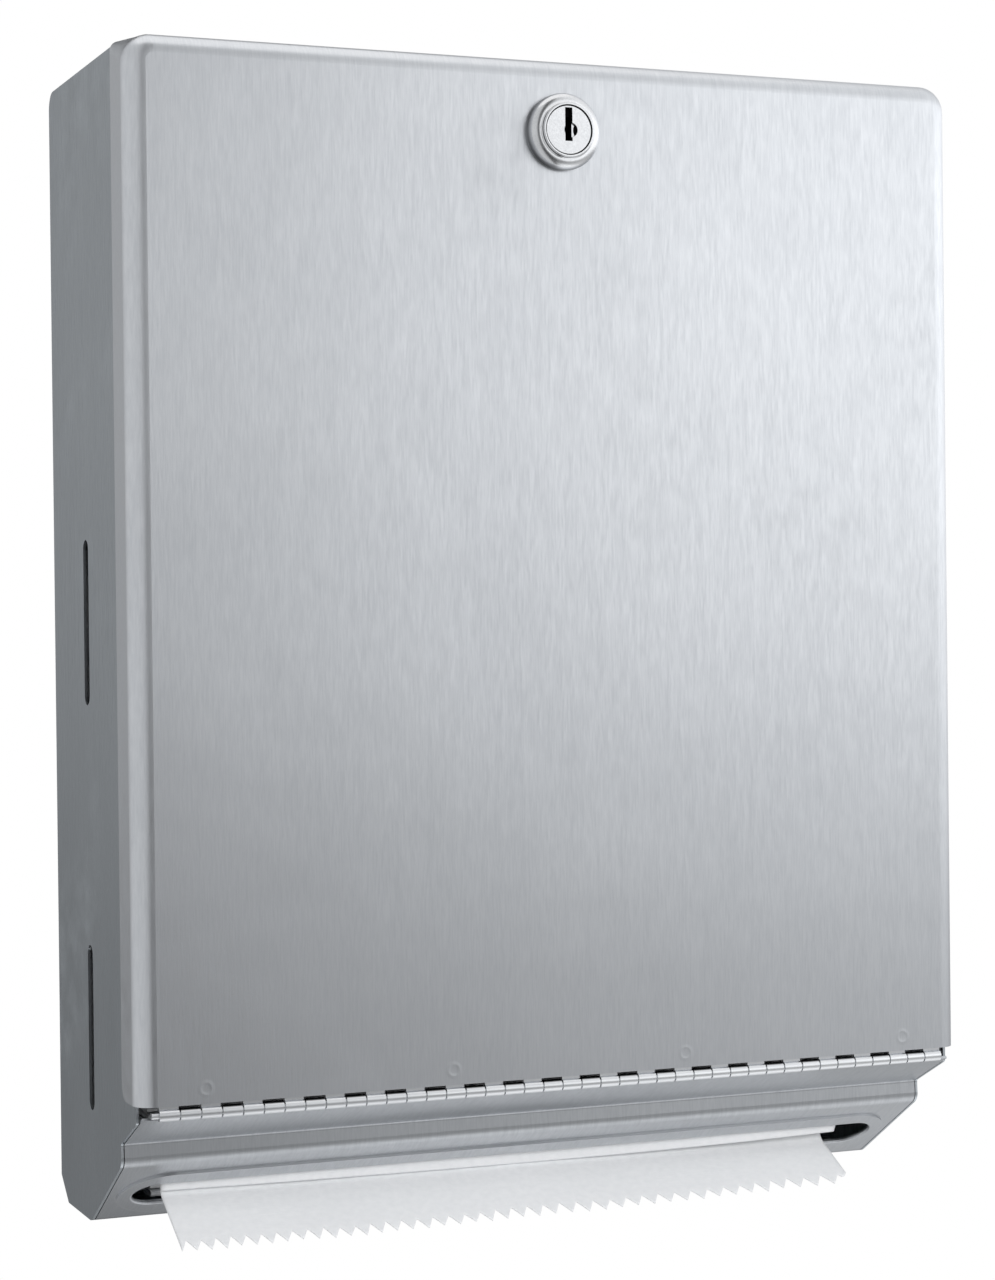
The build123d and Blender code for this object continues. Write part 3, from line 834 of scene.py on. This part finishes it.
# Painted shade: brass darker than clean brass, for the dark keyway it sits in.
WAFER_BRASS = MetalFinish(
    "shaded_stamped_brass", "wafer_brass", (0.50, 0.39, 0.19), (0.36, 0.27, 0.12),
    roughness=0.38, stretch=0.0, lines=BrushLines.ALONG_WIDTH, wave_depth=0.00001,
)
SPRING_WIRE = MetalFinish(
    "drawn_wire", "spring_wire", (0.70, 0.68, 0.64), (0.56, 0.54, 0.50),
    roughness=0.28, stretch=0.0, lines=BrushLines.EVEN, wave_depth=0.000005,
)
SHEET_PAPER = PaperFinish(
    "towel_sheet_paper", "paper", (0.87, 0.88, 0.895), (0.82, 0.833, 0.85),
    space=PatternSpace.SHEET, ridges=(160.0, 1500.0, 1.0),
)
STACK_PAPER = PaperFinish(
    "towel_stack_paper", "paper", (0.87, 0.88, 0.89), (0.80, 0.812, 0.83),
    space=PatternSpace.OBJECT, ridges=(160.0, 900.0, 1700.0),
)


def dress(nodes: tuple[str, ...], finish: MetalFinish) -> None:
    """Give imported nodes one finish.

    Args:
        nodes: Names of the nodes.
        finish: Their common finish.
    """
    material = finish.material()
    for name in nodes:
        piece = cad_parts[name]
        piece.data.materials.clear()
        piece.data.materials.append(material)
        LOG.info("dressed %s in %s", name, finish.name)


@dataclass
class Cabinet:
    """Bent wrap, two flat sides and the towel tray.

    Attributes:
        wrap_nodes: Top, back and bottom, bent from one sheet.
        tray_nodes: The towel tray with its hemmed slot, in a darker copy of the steel as painted shade.
        side_nodes: The flat sides.
    """

    wrap_nodes: tuple[str, ...] = ("cabinet_wrap",)
    tray_nodes: tuple[str, ...] = ("towel_tray",)
    side_nodes: tuple[str, ...] = ("left_side_panel", "right_side_panel")

    def build(self) -> None:
        """Dress the cabinet's sheets."""
        dress(self.wrap_nodes, WRAP_STEEL)
        dress(self.tray_nodes, SHADED_TRAY_STEEL)
        dress(self.side_nodes, SIDE_STEEL)


@dataclass
class Door:
    """Drawn door pan and its piano hinge.

    Attributes:
        pan: The door's node.
        upper_hinge_nodes: The hinge's leaf on the door, and its pin.
        lower_hinge_nodes: Its leaf on the tray, with a painted shadow along the knuckles' tops.
    """

    pan: tuple[str, ...] = ("door_panel",)
    upper_hinge_nodes: tuple[str, ...] = ("door_hinge_leaf", "hinge_pin")
    lower_hinge_nodes: tuple[str, ...] = ("tray_hinge_leaf",)

    def build(self) -> None:
        """Dress the pan and the hinge."""
        dress(self.pan, DOOR_STEEL)
        dress(self.upper_hinge_nodes, HINGE_STEEL)
        dress(self.lower_hinge_nodes, TRAY_HINGE_STEEL)


@dataclass
class CamLock:
    """Lock in the door's top, with its wafers, cam and keeper.

    Attributes:
        collar_nodes: Plated trim ring on the door's face, with painted shade round its foot.
        barrel_nodes: Plated barrel and turning plug, with painted shade inside and in their seams.
        zinc_nodes: Fastening parts behind the door.
        wafer_nodes: Tumblers, in brass darkened as painted shade.
        spring_nodes: Their springs.
    """

    collar_nodes: tuple[str, ...] = ("lock_collar",)
    barrel_nodes: tuple[str, ...] = ("lock_body", "lock_plug")
    zinc_nodes: tuple[str, ...] = (
        "lock_keeper", "lock_washer", "lock_nut", "lock_cam", "cam_washer", "cam_screw",
    )
    wafer_nodes: tuple[str, ...] = ("lock_wafers",)
    spring_nodes: tuple[str, ...] = ("wafer_springs",)

    def build(self) -> None:
        """Dress the lock's parts."""
        dress(self.collar_nodes, LOCK_CHROME)
        dress(self.barrel_nodes, PLUG_CHROME)
        dress(self.zinc_nodes, ZINC_PLATE)
        dress(self.wafer_nodes, WAFER_BRASS)
        dress(self.spring_nodes, SPRING_WIRE)


@dataclass
class TraySlot:
    """Where the towels leave the tray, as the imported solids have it.

    Attributes:
        nose: Depth and height of the slope's front corner.
        fall: Drop of the slope for each metre of depth.
        middle: Depth of the slot's centre.
        half: Half of the slot's reach in depth.
        channel_top: Height of the channel over the slot.
        paper_gap: Room left between paper and metal.
    """

    nose: tuple[float, float] = (-0.0777, -0.15412)
    fall: float = 0.6215
    middle: float = -0.0572
    half: float = 0.0068
    channel_top: float = -0.1228
    paper_gap: float = 0.0004

    def slope_level(self, depth: float) -> float:
        """Height of the tray's sloping outer face at a depth."""
        return self.nose[1] - (depth - self.nose[0]) * self.fall


@dataclass(frozen=True)
class TailEdge:
    """Run of the hanging towel at its left or right edge.

    Attributes:
        x: Place of the edge across the dispenser.
        front_share: How far it stands before the slot's middle, as a share of the slot's half.
        turn: Bend out of the slot, in degrees from straight down.
        bend: Radius of that bend.
        run: Straight run after it.
        droop: How far the end droops back, in degrees.
        droop_radius: Radius of the droop.
    """

    x: float
    front_share: float
    turn: float
    bend: float
    run: float
    droop: float
    droop_radius: float

    def line(self, slot: TraySlot, rise: float, points: int) -> tuple[np.ndarray, np.ndarray]:
        """The edge's line: straight down, an arc forward, a straight run and an arc that droops back.

        Args:
            slot: Where the towel leaves the tray.
            rise: Height above the slope at which the bend starts.
            points: Number of points on each of the four stretches.

        Returns:
            Depths and heights along the line.
        """
        share = np.linspace(0.0, 1.0, points)
        turn = math.radians(self.turn)
        end_turn = math.radians(self.turn - self.droop)
        depth = slot.middle - self.front_share * slot.half
        top = slot.channel_top - slot.paper_gap
        start = slot.slope_level(depth) + rise
        angle = turn * share
        heading = turn + (end_turn - turn) * share
        forward = [
            np.zeros(points),
            self.bend * (1.0 - np.cos(angle)),
            self.run * math.sin(turn) * share,
            self.droop_radius * (np.cos(heading) - math.cos(turn)),
        ]
        drop = [
            (top - start) * share,
            self.bend * np.sin(angle),
            self.run * math.cos(turn) * share,
            self.droop_radius * (math.sin(turn) - np.sin(heading)),
        ]
        depths = []
        heights = []
        height = top
        for ahead, down in zip(forward, drop):
            depths.append(depth - ahead)
            heights.append(height - down)
            depth -= ahead[-1]
            height -= down[-1]
        return np.concatenate(depths), np.concatenate(heights)


@dataclass
class HangingTowel:
    """Towel drawn part of the way out of the slot, with a toothed lower edge.

    Attributes:
        left: Run of its left edge.
        right: Run of its right edge.
        rise: Height above the slope at which it bends forward.
        thickness: Thickness of the paper.
        teeth: Number of teeth along the edge.
        growth: How far the teeth widen from left to right.
        steps: Columns of the grid in each tooth.
        rows: Rows of the grid.
        line_points: Points on each stretch of an edge's line.
        tooth_depth: Depth of a tooth.
        tooth_spread: How far tips and roots differ.
        corner: Size of the cut right corner.
        corner_fall: Fall of that cut for each metre across.
        bow: How far its middle bows forward.
        bowed_shares: Shares of its length between which the bow sets in.
        ripple: Height of the soft waves at its free end.
        ripple_shares: Shares of its length between which they set in.
        waves: Weight, count and start of those waves.
        seed: Start of the teeth's small differences.
    """

    left: TailEdge = TailEdge(
        x=-0.119, front_share=0.36, turn=63.5, bend=0.005, run=0.019, droop=3.0, droop_radius=0.133
    )
    right: TailEdge = TailEdge(
        x=0.109, front_share=0.08, turn=63.5, bend=0.005, run=0.0152, droop=3.0, droop_radius=0.133
    )
    rise: float = 0.0017
    thickness: float = 0.0003
    teeth: int = 42
    growth: float = 0.16
    steps: int = 6
    rows: int = 64
    line_points: int = 60
    tooth_depth: float = 0.0046
    tooth_spread: float = 0.0008
    corner: float = 0.004
    corner_fall: float = 1.3
    bow: float = 0.0011
    bowed_shares: tuple[float, float] = (0.25, 0.6)
    ripple: float = 0.0007
    ripple_shares: tuple[float, float] = (0.6, 1.0)
    waves: tuple[tuple[float, float, float], ...] = ((1.0, 2.3, 0.15), (0.5, 5.1, 0.6))
    seed: int = 7

    def width(self) -> float:
        """Width of the sheet."""
        return self.right.x - self.left.x

    def widened(self, even: np.ndarray) -> np.ndarray:
        """Shares across the sheet of teeth that widen to the right: t less growth times t less t squared.

        Args:
            even: Shares counted in teeth.

        Returns:
            Shares counted in width.
        """
        return even - self.growth * (even - even * even)

    def edge_trim(self, across: np.ndarray) -> np.ndarray:
        """How much of the sheet the torn edge takes away, by place across it.

        A zigzag falls from the tip to the root in the middle of each tooth, each tooth's tip and root differ
        a little, and the right corner is cut off at a slant.

        Args:
            across: Shares across the sheet, from 0 at the left to 1 at the right, even in teeth.

        Returns:
            Lengths taken away at those places.
        """
        spread = np.random.default_rng(self.seed)
        knots = np.arange(2 * self.teeth + 1) / (2 * self.teeth)
        cuts = np.where(np.arange(knots.size) % 2 == 1, self.tooth_depth, 0.0)
        cuts = cuts + spread.uniform(0.0, self.tooth_spread, knots.size)
        trim = np.interp(across, knots, cuts)
        slant = self.corner - (1.0 - self.widened(across)) * self.width()
        return np.maximum(trim, np.maximum(slant, 0.0) * self.corner_fall)

    def build(self, slot: TraySlot) -> bpy.types.Object:
        """Make the sheet: each point lies between the left and right edge's lines, at a share of both.

        Args:
            slot: Where the towel leaves the tray.

        Returns:
            The towel.
        """
        even = np.linspace(0.0, 1.0, self.teeth * self.steps + 1)[None, :]
        across = self.widened(even)
        along = np.linspace(0.0, 1.0, self.rows)[:, None]
        lines = [edge.line(slot, self.rise, self.line_points) for edge in (self.left, self.right)]
        walks = [walked_along(*line) for line in lines]
        lengths = [walked[-1] for walked in walks]
        length = lengths[0] + (lengths[1] - lengths[0]) * across
        end = 1.0 - self.edge_trim(even) / length
        place = along * end
        left, right = (
            [np.interp(place, walked / walked[-1], values) for values in line]
            for line, walked in zip(lines, walks)
        )
        depth, height = (at_left + (at_right - at_left) * across for at_left, at_right in zip(left, right))
        depth = depth - self.bow * np.sin(np.pi * across) * smooth_step(along, *self.bowed_shares)
        depth = depth + self.ripple * soft_waves(across, self.waves) * smooth_step(along, *self.ripple_shares)
        x = np.broadcast_to(self.left.x + self.width() * across, depth.shape)
        points = np.stack([x, depth, height], axis=-1)
        towel = mesh_piece("drawn_towel", points, grid_faces(*x.shape).tolist())
        lay_flat_map(towel, np.stack([x, place * length], axis=-1))
        thicken(towel, self.thickness)
        towel.data.materials.append(SHEET_PAPER.material())
        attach(towel, "towel")
        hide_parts("hanging_towel")
        area = float(self.width() * np.mean(end * length))
        flat = (self.width(), float(max(lengths)))
        LOG.info("made %s with %d teeth", towel.name, self.teeth)
        return towel


@dataclass
class NextTowel:
    """Folded edge of the next towel, just through the slot behind its front lip.

    Attributes:
        left: Its left end across the dispenser.
        right: Its right end.
        front_share: How far it stands before the slot's middle, as a share of the slot's half.
        fold: Width of the fold.
        peep: How far the fold hangs below the slope.
        thickness: Thickness of the paper.
        columns: Columns of the grid.
        ply_points: Points down each ply.
        bend_points: Points round the fold, with those that it shares with the plies.
        wave: Height of the soft waves in the fold.
        waves: Weight, count and start of its waves in depth.
        low_waves: Weight, count and start of the waves in its lower line.
        end_lift: How far its ends hang higher than its middle.
        lift_power: How late the lift sets in towards the ends.
        end_slant: How far its right end draws in at the fold.
        slant_power: How late that sets in towards the fold.
    """

    left: float = -0.1192
    right: float = 0.114
    front_share: float = 0.70
    fold: float = 0.0016
    peep: float = 0.0029
    thickness: float = 0.0003
    columns: int = 121
    ply_points: int = 14
    bend_points: int = 13
    wave: float = 0.00025
    waves: tuple[tuple[float, float, float], ...] = ((1.0, 1.7, 0.3), (0.4, 4.3, 0.0))
    low_waves: tuple[tuple[float, float, float], ...] = ((1.0, 1.1, 0.1),)
    end_lift: float = 0.0008
    lift_power: int = 3
    end_slant: float = 0.002
    slant_power: int = 12

    def build(self, slot: TraySlot) -> bpy.types.Object:
        """Make the fold: a U of two straight plies and a half circle, carried across with soft waves.

        Args:
            slot: Where the towel leaves the tray.

        Returns:
            The folded towel.
        """
        depth = slot.middle - self.front_share * slot.half
        radius = (self.fold - self.thickness) / 2
        low = slot.slope_level(depth) - self.peep + self.fold / 2
        top = slot.channel_top - slot.paper_gap
        ply_y = np.full(self.ply_points, radius)
        ply_z = np.linspace(top - low, 0.0, self.ply_points)
        angle = np.linspace(0.0, np.pi, self.bend_points)[1:-1]
        profile_y = np.concatenate([-ply_y, -radius * np.cos(angle), ply_y])
        profile_z = np.concatenate([ply_z, -radius * np.sin(angle), ply_z[::-1]])
        across = np.linspace(0.0, 1.0, self.columns)[None, :]
        free = 1.0 - np.clip(profile_z / (top - low), 0.0, 1.0)[:, None]
        x = self.left + (self.right - self.left - self.end_slant * free**self.slant_power) * across
        y = depth + profile_y[:, None] + self.wave * soft_waves(across, self.waves) * free
        lift = self.end_lift * np.abs(2.0 * across - 1.0) ** self.lift_power
        z = low + profile_z[:, None] + free * (lift + self.wave * soft_waves(across, self.low_waves))
        points = np.stack([x, y, z], axis=-1)
        towel = mesh_piece("next_towel_fold", points, grid_faces(*x.shape).tolist())
        walked = walked_along(profile_y, profile_z)
        lay_flat_map(towel, np.stack([x, np.broadcast_to(walked[:, None], x.shape)], axis=-1))
        thicken(towel, self.thickness)
        towel.data.materials.append(SHEET_PAPER.material())
        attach(towel, "next_towel")
        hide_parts("next_towel")
        LOG.info("made %s", towel.name)
        return towel


@dataclass
class TowelStack:
    """Folded towels piled on the tray, with a channel over the slot.

    Attributes:
        left: Left end of the pile.
        right: Right end of the pile.
        front: Depth of its front.
        back: Depth of its back.
        top: Height of its top.
        low: Height of its lowest towel.
        towel: Height of one folded towel.
        gap: Dark line between two towels.
        channel: Depths of the channel's front and back.
        front_outline: Heights, from high to low, and front depths where the pile meets ledge, nose and slope.
        stations: Points along each towel.
        fold_points: Points round each of a towel's two folds.
        shift: How far a towel may stand back from the front.
        skew: How far it may be turned, at its ends.
        inset: How far its ends may stand in.
        end_share: Share of its height that it loses at its ends.
        end_reach: Length over which it loses that.
        seed: Start of the towels' small differences.
    """

    left: float = -0.1195
    right: float = 0.1155
    front: float = -0.0919
    back: float = -0.0125
    top: float = 0.0493
    low: float = -0.171
    towel: float = 0.00239
    gap: float = 0.00012
    channel: tuple[float, float] = (-0.0662, -0.0482)
    front_outline: tuple[tuple[float, ...], tuple[float, ...]] = (
        (-0.1384, -0.1456, -0.1530, -0.1599),
        (-0.0919, -0.0761, -0.0761, -0.0662),
    )
    stations: int = 13
    fold_points: int = 7
    shift: float = 0.0008
    skew: float = 0.0005
    inset: float = 0.0009
    end_share: float = 0.14
    end_reach: float = 0.012
    seed: int = 19

    def spans(self, slot: TraySlot) -> np.ndarray:
        """Front, back, low and high of every towel, parted before and behind the channel.

        Args:
            slot: Where the channel ends.

        Returns:
            Four numbers for each towel or part of one.
        """
        count = int((self.top - self.low) / self.towel)
        low = self.top - self.towel * np.arange(1, count + 1)
        high = low + self.towel - self.gap
        heights, depths = self.front_outline
        front = np.interp(low, heights[::-1], depths[::-1])
        back, channel_front, channel_back = (np.full(count, depth) for depth in (self.back, *self.channel))
        over = low > slot.channel_top
        beside = high <= slot.channel_top
        whole = np.stack([front, back, low, high], axis=1)[over]
        before = np.stack([front, channel_front, low, high], axis=1)[beside & (low > heights[-1])]
        after = np.stack([channel_back, back, low, high], axis=1)[beside]
        return np.concatenate([whole, before, after])

    def build(self, slot: TraySlot) -> bpy.types.Object:
        """Make every towel: a flat loop with a round fold in front and a tighter one behind, carried across.

        Args:
            slot: Where the channel ends.

        Returns:
            The pile as one piece.
        """
        spans = self.spans(slot)
        spread = np.random.default_rng(self.seed)
        front, back, low, high = (spans[:, index][:, None, None] for index in range(4))
        half = (high - low) / 2
        angle = np.linspace(-np.pi / 2, np.pi / 2, self.fold_points)
        round_off = half * (1.0 - np.cos(angle))
        lift = np.concatenate([np.sin(angle), -np.sin(angle)])[None, None, :]
        across = np.linspace(0.0, 1.0, self.stations)[None, :, None]
        shift = spread.uniform(0.0, self.shift, (len(spans), 1, 1))
        skew = spread.uniform(-self.skew, self.skew, (len(spans), 1, 1))
        inset = spread.uniform(0.0, self.inset, (len(spans), 2, 1))
        ahead = front + shift + np.abs(skew) + skew * (2.0 * across - 1.0)
        ends = np.minimum(across, 1.0 - across) * (self.right - self.left)
        soft = 1.0 - self.end_share * (1.0 - smooth_step(ends, 0.0, self.end_reach))
        y = np.concatenate(np.broadcast_arrays(ahead + round_off, back - round_off), axis=2)
        z = (low + high) / 2 + half * lift * soft
        start = self.left + inset[:, :1]
        x = start + (self.right - inset[:, 1:] - start) * across
        points = np.stack(np.broadcast_arrays(x, y, z), axis=-1)
        ring = points.shape[2]
        loop = grid_faces(self.stations, ring, closed=True)
        firsts = np.arange(len(spans)) * self.stations * ring
        sides = (loop[None] + firsts[:, None, None]).reshape(-1, 4).tolist()
        near = (np.arange(ring)[None] + firsts[:, None]).tolist()
        far = (np.arange(ring)[None, ::-1] + firsts[:, None] + (self.stations - 1) * ring).tolist()
        pile = mesh_piece("folded_towel_pile", points, sides + near + far)
        pile.data.materials.append(STACK_PAPER.material())
        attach(pile, "cabinet")
        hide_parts("towel_stack")
        LOG.info("made %s of %d folds", pile.name, len(spans))
        return pile


@dataclass
class PhotoCamera:
    """Camera at the photograph's viewing angle, for an upright image of 995 by 1280.

    Attributes:
        place: Where it stands.
        yaw: Turn to the right of straight ahead, in degrees.
        pitch: Tilt up, in degrees.
        roll: Turn about its own line of sight, in degrees.
        lens: Focal length, in millimetres.
        sensor: Width of the sensor's long side, in millimetres.
    """

    place: tuple[float, float, float] = (-0.3429, -0.8957, 0.0074)
    yaw: float = 21.94
    pitch: float = -0.461
    roll: float = -0.618
    lens: float = 79.46
    sensor: float = 36.0

    def build(self) -> None:
        """Make the camera and set it as the scene's own."""
        ahead, right = turned(Vector((0.0, 1.0, 0.0)), Vector((1.0, 0.0, 0.0)), self.yaw)
        ahead, up = turned(ahead, Vector((0.0, 0.0, 1.0)), self.pitch)
        right, up = turned(right, up, self.roll)
        data = bpy.data.cameras.new("photo_camera")
        data.lens = self.lens
        data.sensor_width = self.sensor
        camera = bpy.data.objects.new("photo_camera", data)
        turn = Matrix((right, up, -ahead)).transposed()
        camera.matrix_world = Matrix.Translation(self.place) @ turn.to_4x4()
        bpy.context.scene.collection.objects.link(camera)
        bpy.context.scene.camera = camera


@dataclass
class StudioWall:
    """Soft grey wall round the studio, which the metal mirrors and the camera doesn't see.

    Attributes:
        radius: Distance of the wall.
        turns: Directions round the object, in degrees from the right over the back.
        glows: Brightness in those directions.
        swings: How far the brightness follows the height's share there.
        rises: Heights above the horizon, in degrees.
        fades: Share of the brightness at those heights.
        tint: Colour of its light.
        columns: Columns of the grid.
        rows: Rows of the grid.
    """

    radius: float = 2.2
    turns: tuple[float, ...] = (
        0, 30, 60, 74, 84, 98, 104, 114, 128, 150, 200, 245, 260, 276, 285, 301, 320, 350, 360,
    )
    glows: tuple[float, ...] = (
        1.05, 0.80, 0.56, 0.30, 0.10, 0.06, 0.08, 0.27, 0.50, 0.64,
        0.63, 0.60, 0.14, 0.15, 0.80, 1.08, 1.15, 1.12, 1.05,
    )
    swings: tuple[float, ...] = (
        1.0, 1.0, 1.0, 1.0, 1.0, 1.0, 1.0, 0.8, 0.4, 0.1, 0.1, 0.2, 1.0, 1.0, 1.0, 1.0, 1.0, 1.0, 1.0,
    )
    rises: tuple[float, ...] = (-86, -50, -36, -22, -13, -9, -5, -1, 3, 8, 13, 18, 26, 35, 60)
    fades: tuple[float, ...] = (
        0.92, 0.92, 0.54, 0.44, 0.42, 0.44, 0.80, 1.03, 1.12, 1.20, 1.24, 1.20, 0.95, 0.82, 0.80,
    )
    tint: Colour = (0.97, 0.985, 1.0)
    columns: int = 181
    rows: int = 74

    def build(self) -> bpy.types.Object:
        """Make the wall: a part of a sphere, its brightness from its direction, swung by its height's share.

        Returns:
            The wall.
        """
        turn = np.linspace(self.turns[0], self.turns[-1], self.columns)[None, :]
        rise = np.linspace(self.rises[0], self.rises[-1], self.rows)[:, None]
        around = np.radians(turn)
        above = np.radians(rise)
        flat, height = np.cos(above) * self.radius, np.sin(above) * self.radius
        places = np.broadcast_arrays(flat * np.cos(around), flat * np.sin(around), height)
        points = np.stack(places, axis=-1)
        fade = np.interp(rise, self.rises, self.fades) - 1.0
        swing = np.interp(turn, self.turns, self.swings)
        glow = np.interp(turn, self.turns, self.glows) * (1.0 + swing * fade)
        wall = mesh_piece("studio_wall", points, grid_faces(self.rows, self.columns).tolist())
        layer = wall.data.attributes.new("glow", "FLOAT", "POINT")
        layer.data.foreach_set("value", glow.astype(np.float32).ravel())
        material, sheet, _ = new_material("studio_wall_glow")
        material.node_tree.nodes.clear()
        read = sheet.add("ShaderNodeAttribute", attribute_name="glow").outputs["Fac"]
        shine = sheet.add("ShaderNodeEmission", {"Strength": read, "Color": (*self.tint, 1.0)}).outputs[0]
        sheet.add("ShaderNodeOutputMaterial", {"Surface": shine})
        wall.data.materials.append(material)
        wall.visible_camera = False
        wall.visible_diffuse = False
        wall.visible_shadow = False
        wall.visible_transmission = False
        return wall


@dataclass(frozen=True)
class SoftLamp:
    """Square soft lamp, turned to the object.

    Attributes:
        name: The lamp's name.
        place: Where it hangs.
        size: Length of its sides.
        power: Its power, in watts.
    """

    name: str
    place: tuple[float, float, float]
    size: float
    power: float

    def build(self) -> None:
        """Make the lamp, unseen in the metal."""
        data = bpy.data.lights.new(self.name, "AREA")
        data.size = self.size
        data.energy = self.power
        lamp = bpy.data.objects.new(self.name, data)
        lamp.location = self.place
        lamp.rotation_euler = Vector(self.place).to_track_quat("Z", "Y").to_euler()
        lamp.visible_glossy = False
        bpy.context.scene.collection.objects.link(lamp)


@dataclass
class Studio:
    """Pale floor, white surroundings, soft lamps and the camera.

    Attributes:
        floor_level: Height of the floor.
        floor_radius: Reach of the floor.
        floor_rings: Rings of points on the floor.
        floor_spokes: Points on each ring.
        floor_shade: Its colour.
        floor_rough: Its roughness.
        world_fill: Light of the surroundings on matt faces.
        lamps: The lamps.
        camera: The camera.
        wall: The wall that the metal mirrors.
    """

    floor_level: float = -0.75
    floor_radius: float = 1.3
    floor_rings: int = 11
    floor_spokes: int = 64
    floor_shade: Colour = (0.95, 0.955, 0.96)
    floor_rough: float = 0.9
    world_fill: float = 0.34
    lamps: tuple[SoftLamp, ...] = (
        SoftLamp("key_lamp", place=(0.6, -1.5, 0.6), size=1.2, power=18.9),
        SoftLamp("fill_lamp", place=(-1.3, -1.3, 0.55), size=1.4, power=11.2),
    )
    camera: PhotoCamera = field(default_factory=PhotoCamera)
    wall: StudioWall = field(default_factory=StudioWall)

    def build_world(self) -> None:
        """White surroundings for camera, gloss and glass, and a plain fill light for the rest."""
        world = bpy.data.worlds.new("white_studio")
        world.use_nodes = True
        sheet = NodeSheet(world.node_tree)
        world.node_tree.nodes.clear()
        path = sheet.add("ShaderNodeLightPath").outputs
        seen = sheet.math("MAXIMUM", path["Is Camera Ray"], path["Is Glossy Ray"])
        seen = sheet.math("MAXIMUM", seen, path["Is Transmission Ray"])
        strength = sheet.spread(seen, 0.0, 1.0, to_low=self.world_fill)
        white = {"Color": (1.0, 1.0, 1.0, 1.0), "Strength": strength}
        light = sheet.add("ShaderNodeBackground", white).outputs[0]
        sheet.add("ShaderNodeOutputWorld", {"Surface": light})
        bpy.context.scene.world = world

    def build_floor(self) -> None:
        """Round pale floor: rings of points about the Z axis, and one face inside the smallest."""
        reach = np.linspace(0.0, self.floor_radius, self.floor_rings + 1)[1:, None]
        around = np.linspace(2 * np.pi, 0.0, self.floor_spokes + 1)[None, :-1]
        places = np.broadcast_arrays(reach * np.cos(around), reach * np.sin(around), self.floor_level)
        faces = grid_faces(self.floor_rings, self.floor_spokes, closed=True).tolist()
        middle = list(range(self.floor_spokes))[::-1]
        floor = mesh_piece("studio_floor", np.stack(places, axis=-1), faces + [middle])
        material, _, shader = new_material("pale_floor")
        shader.inputs["Base Color"].default_value = (*self.floor_shade, 1.0)
        shader.inputs["Roughness"].default_value = self.floor_rough
        floor.data.materials.append(material)
        floor.visible_glossy = False

    def build(self) -> None:
        """Set up the whole studio."""
        bpy.context.scene.view_settings.view_transform = "Standard"
        self.build_world()
        self.build_floor()
        for lamp in self.lamps:
            lamp.build()
        self.wall.build()
        self.camera.build()
        LOG.info("set up the studio")


def main() -> None:
    """Build the dispenser's pieces in order, then the studio."""
    logging.basicConfig(level=logging.INFO, format="%(name)s: %(message)s")
    slot = TraySlot()
    Cabinet().build()
    Door().build()
    CamLock().build()
    TowelStack().build(slot)
    HangingTowel().build(slot)
    NextTowel().build(slot)
    Studio().build()


if __name__ == "__main__":
    main()
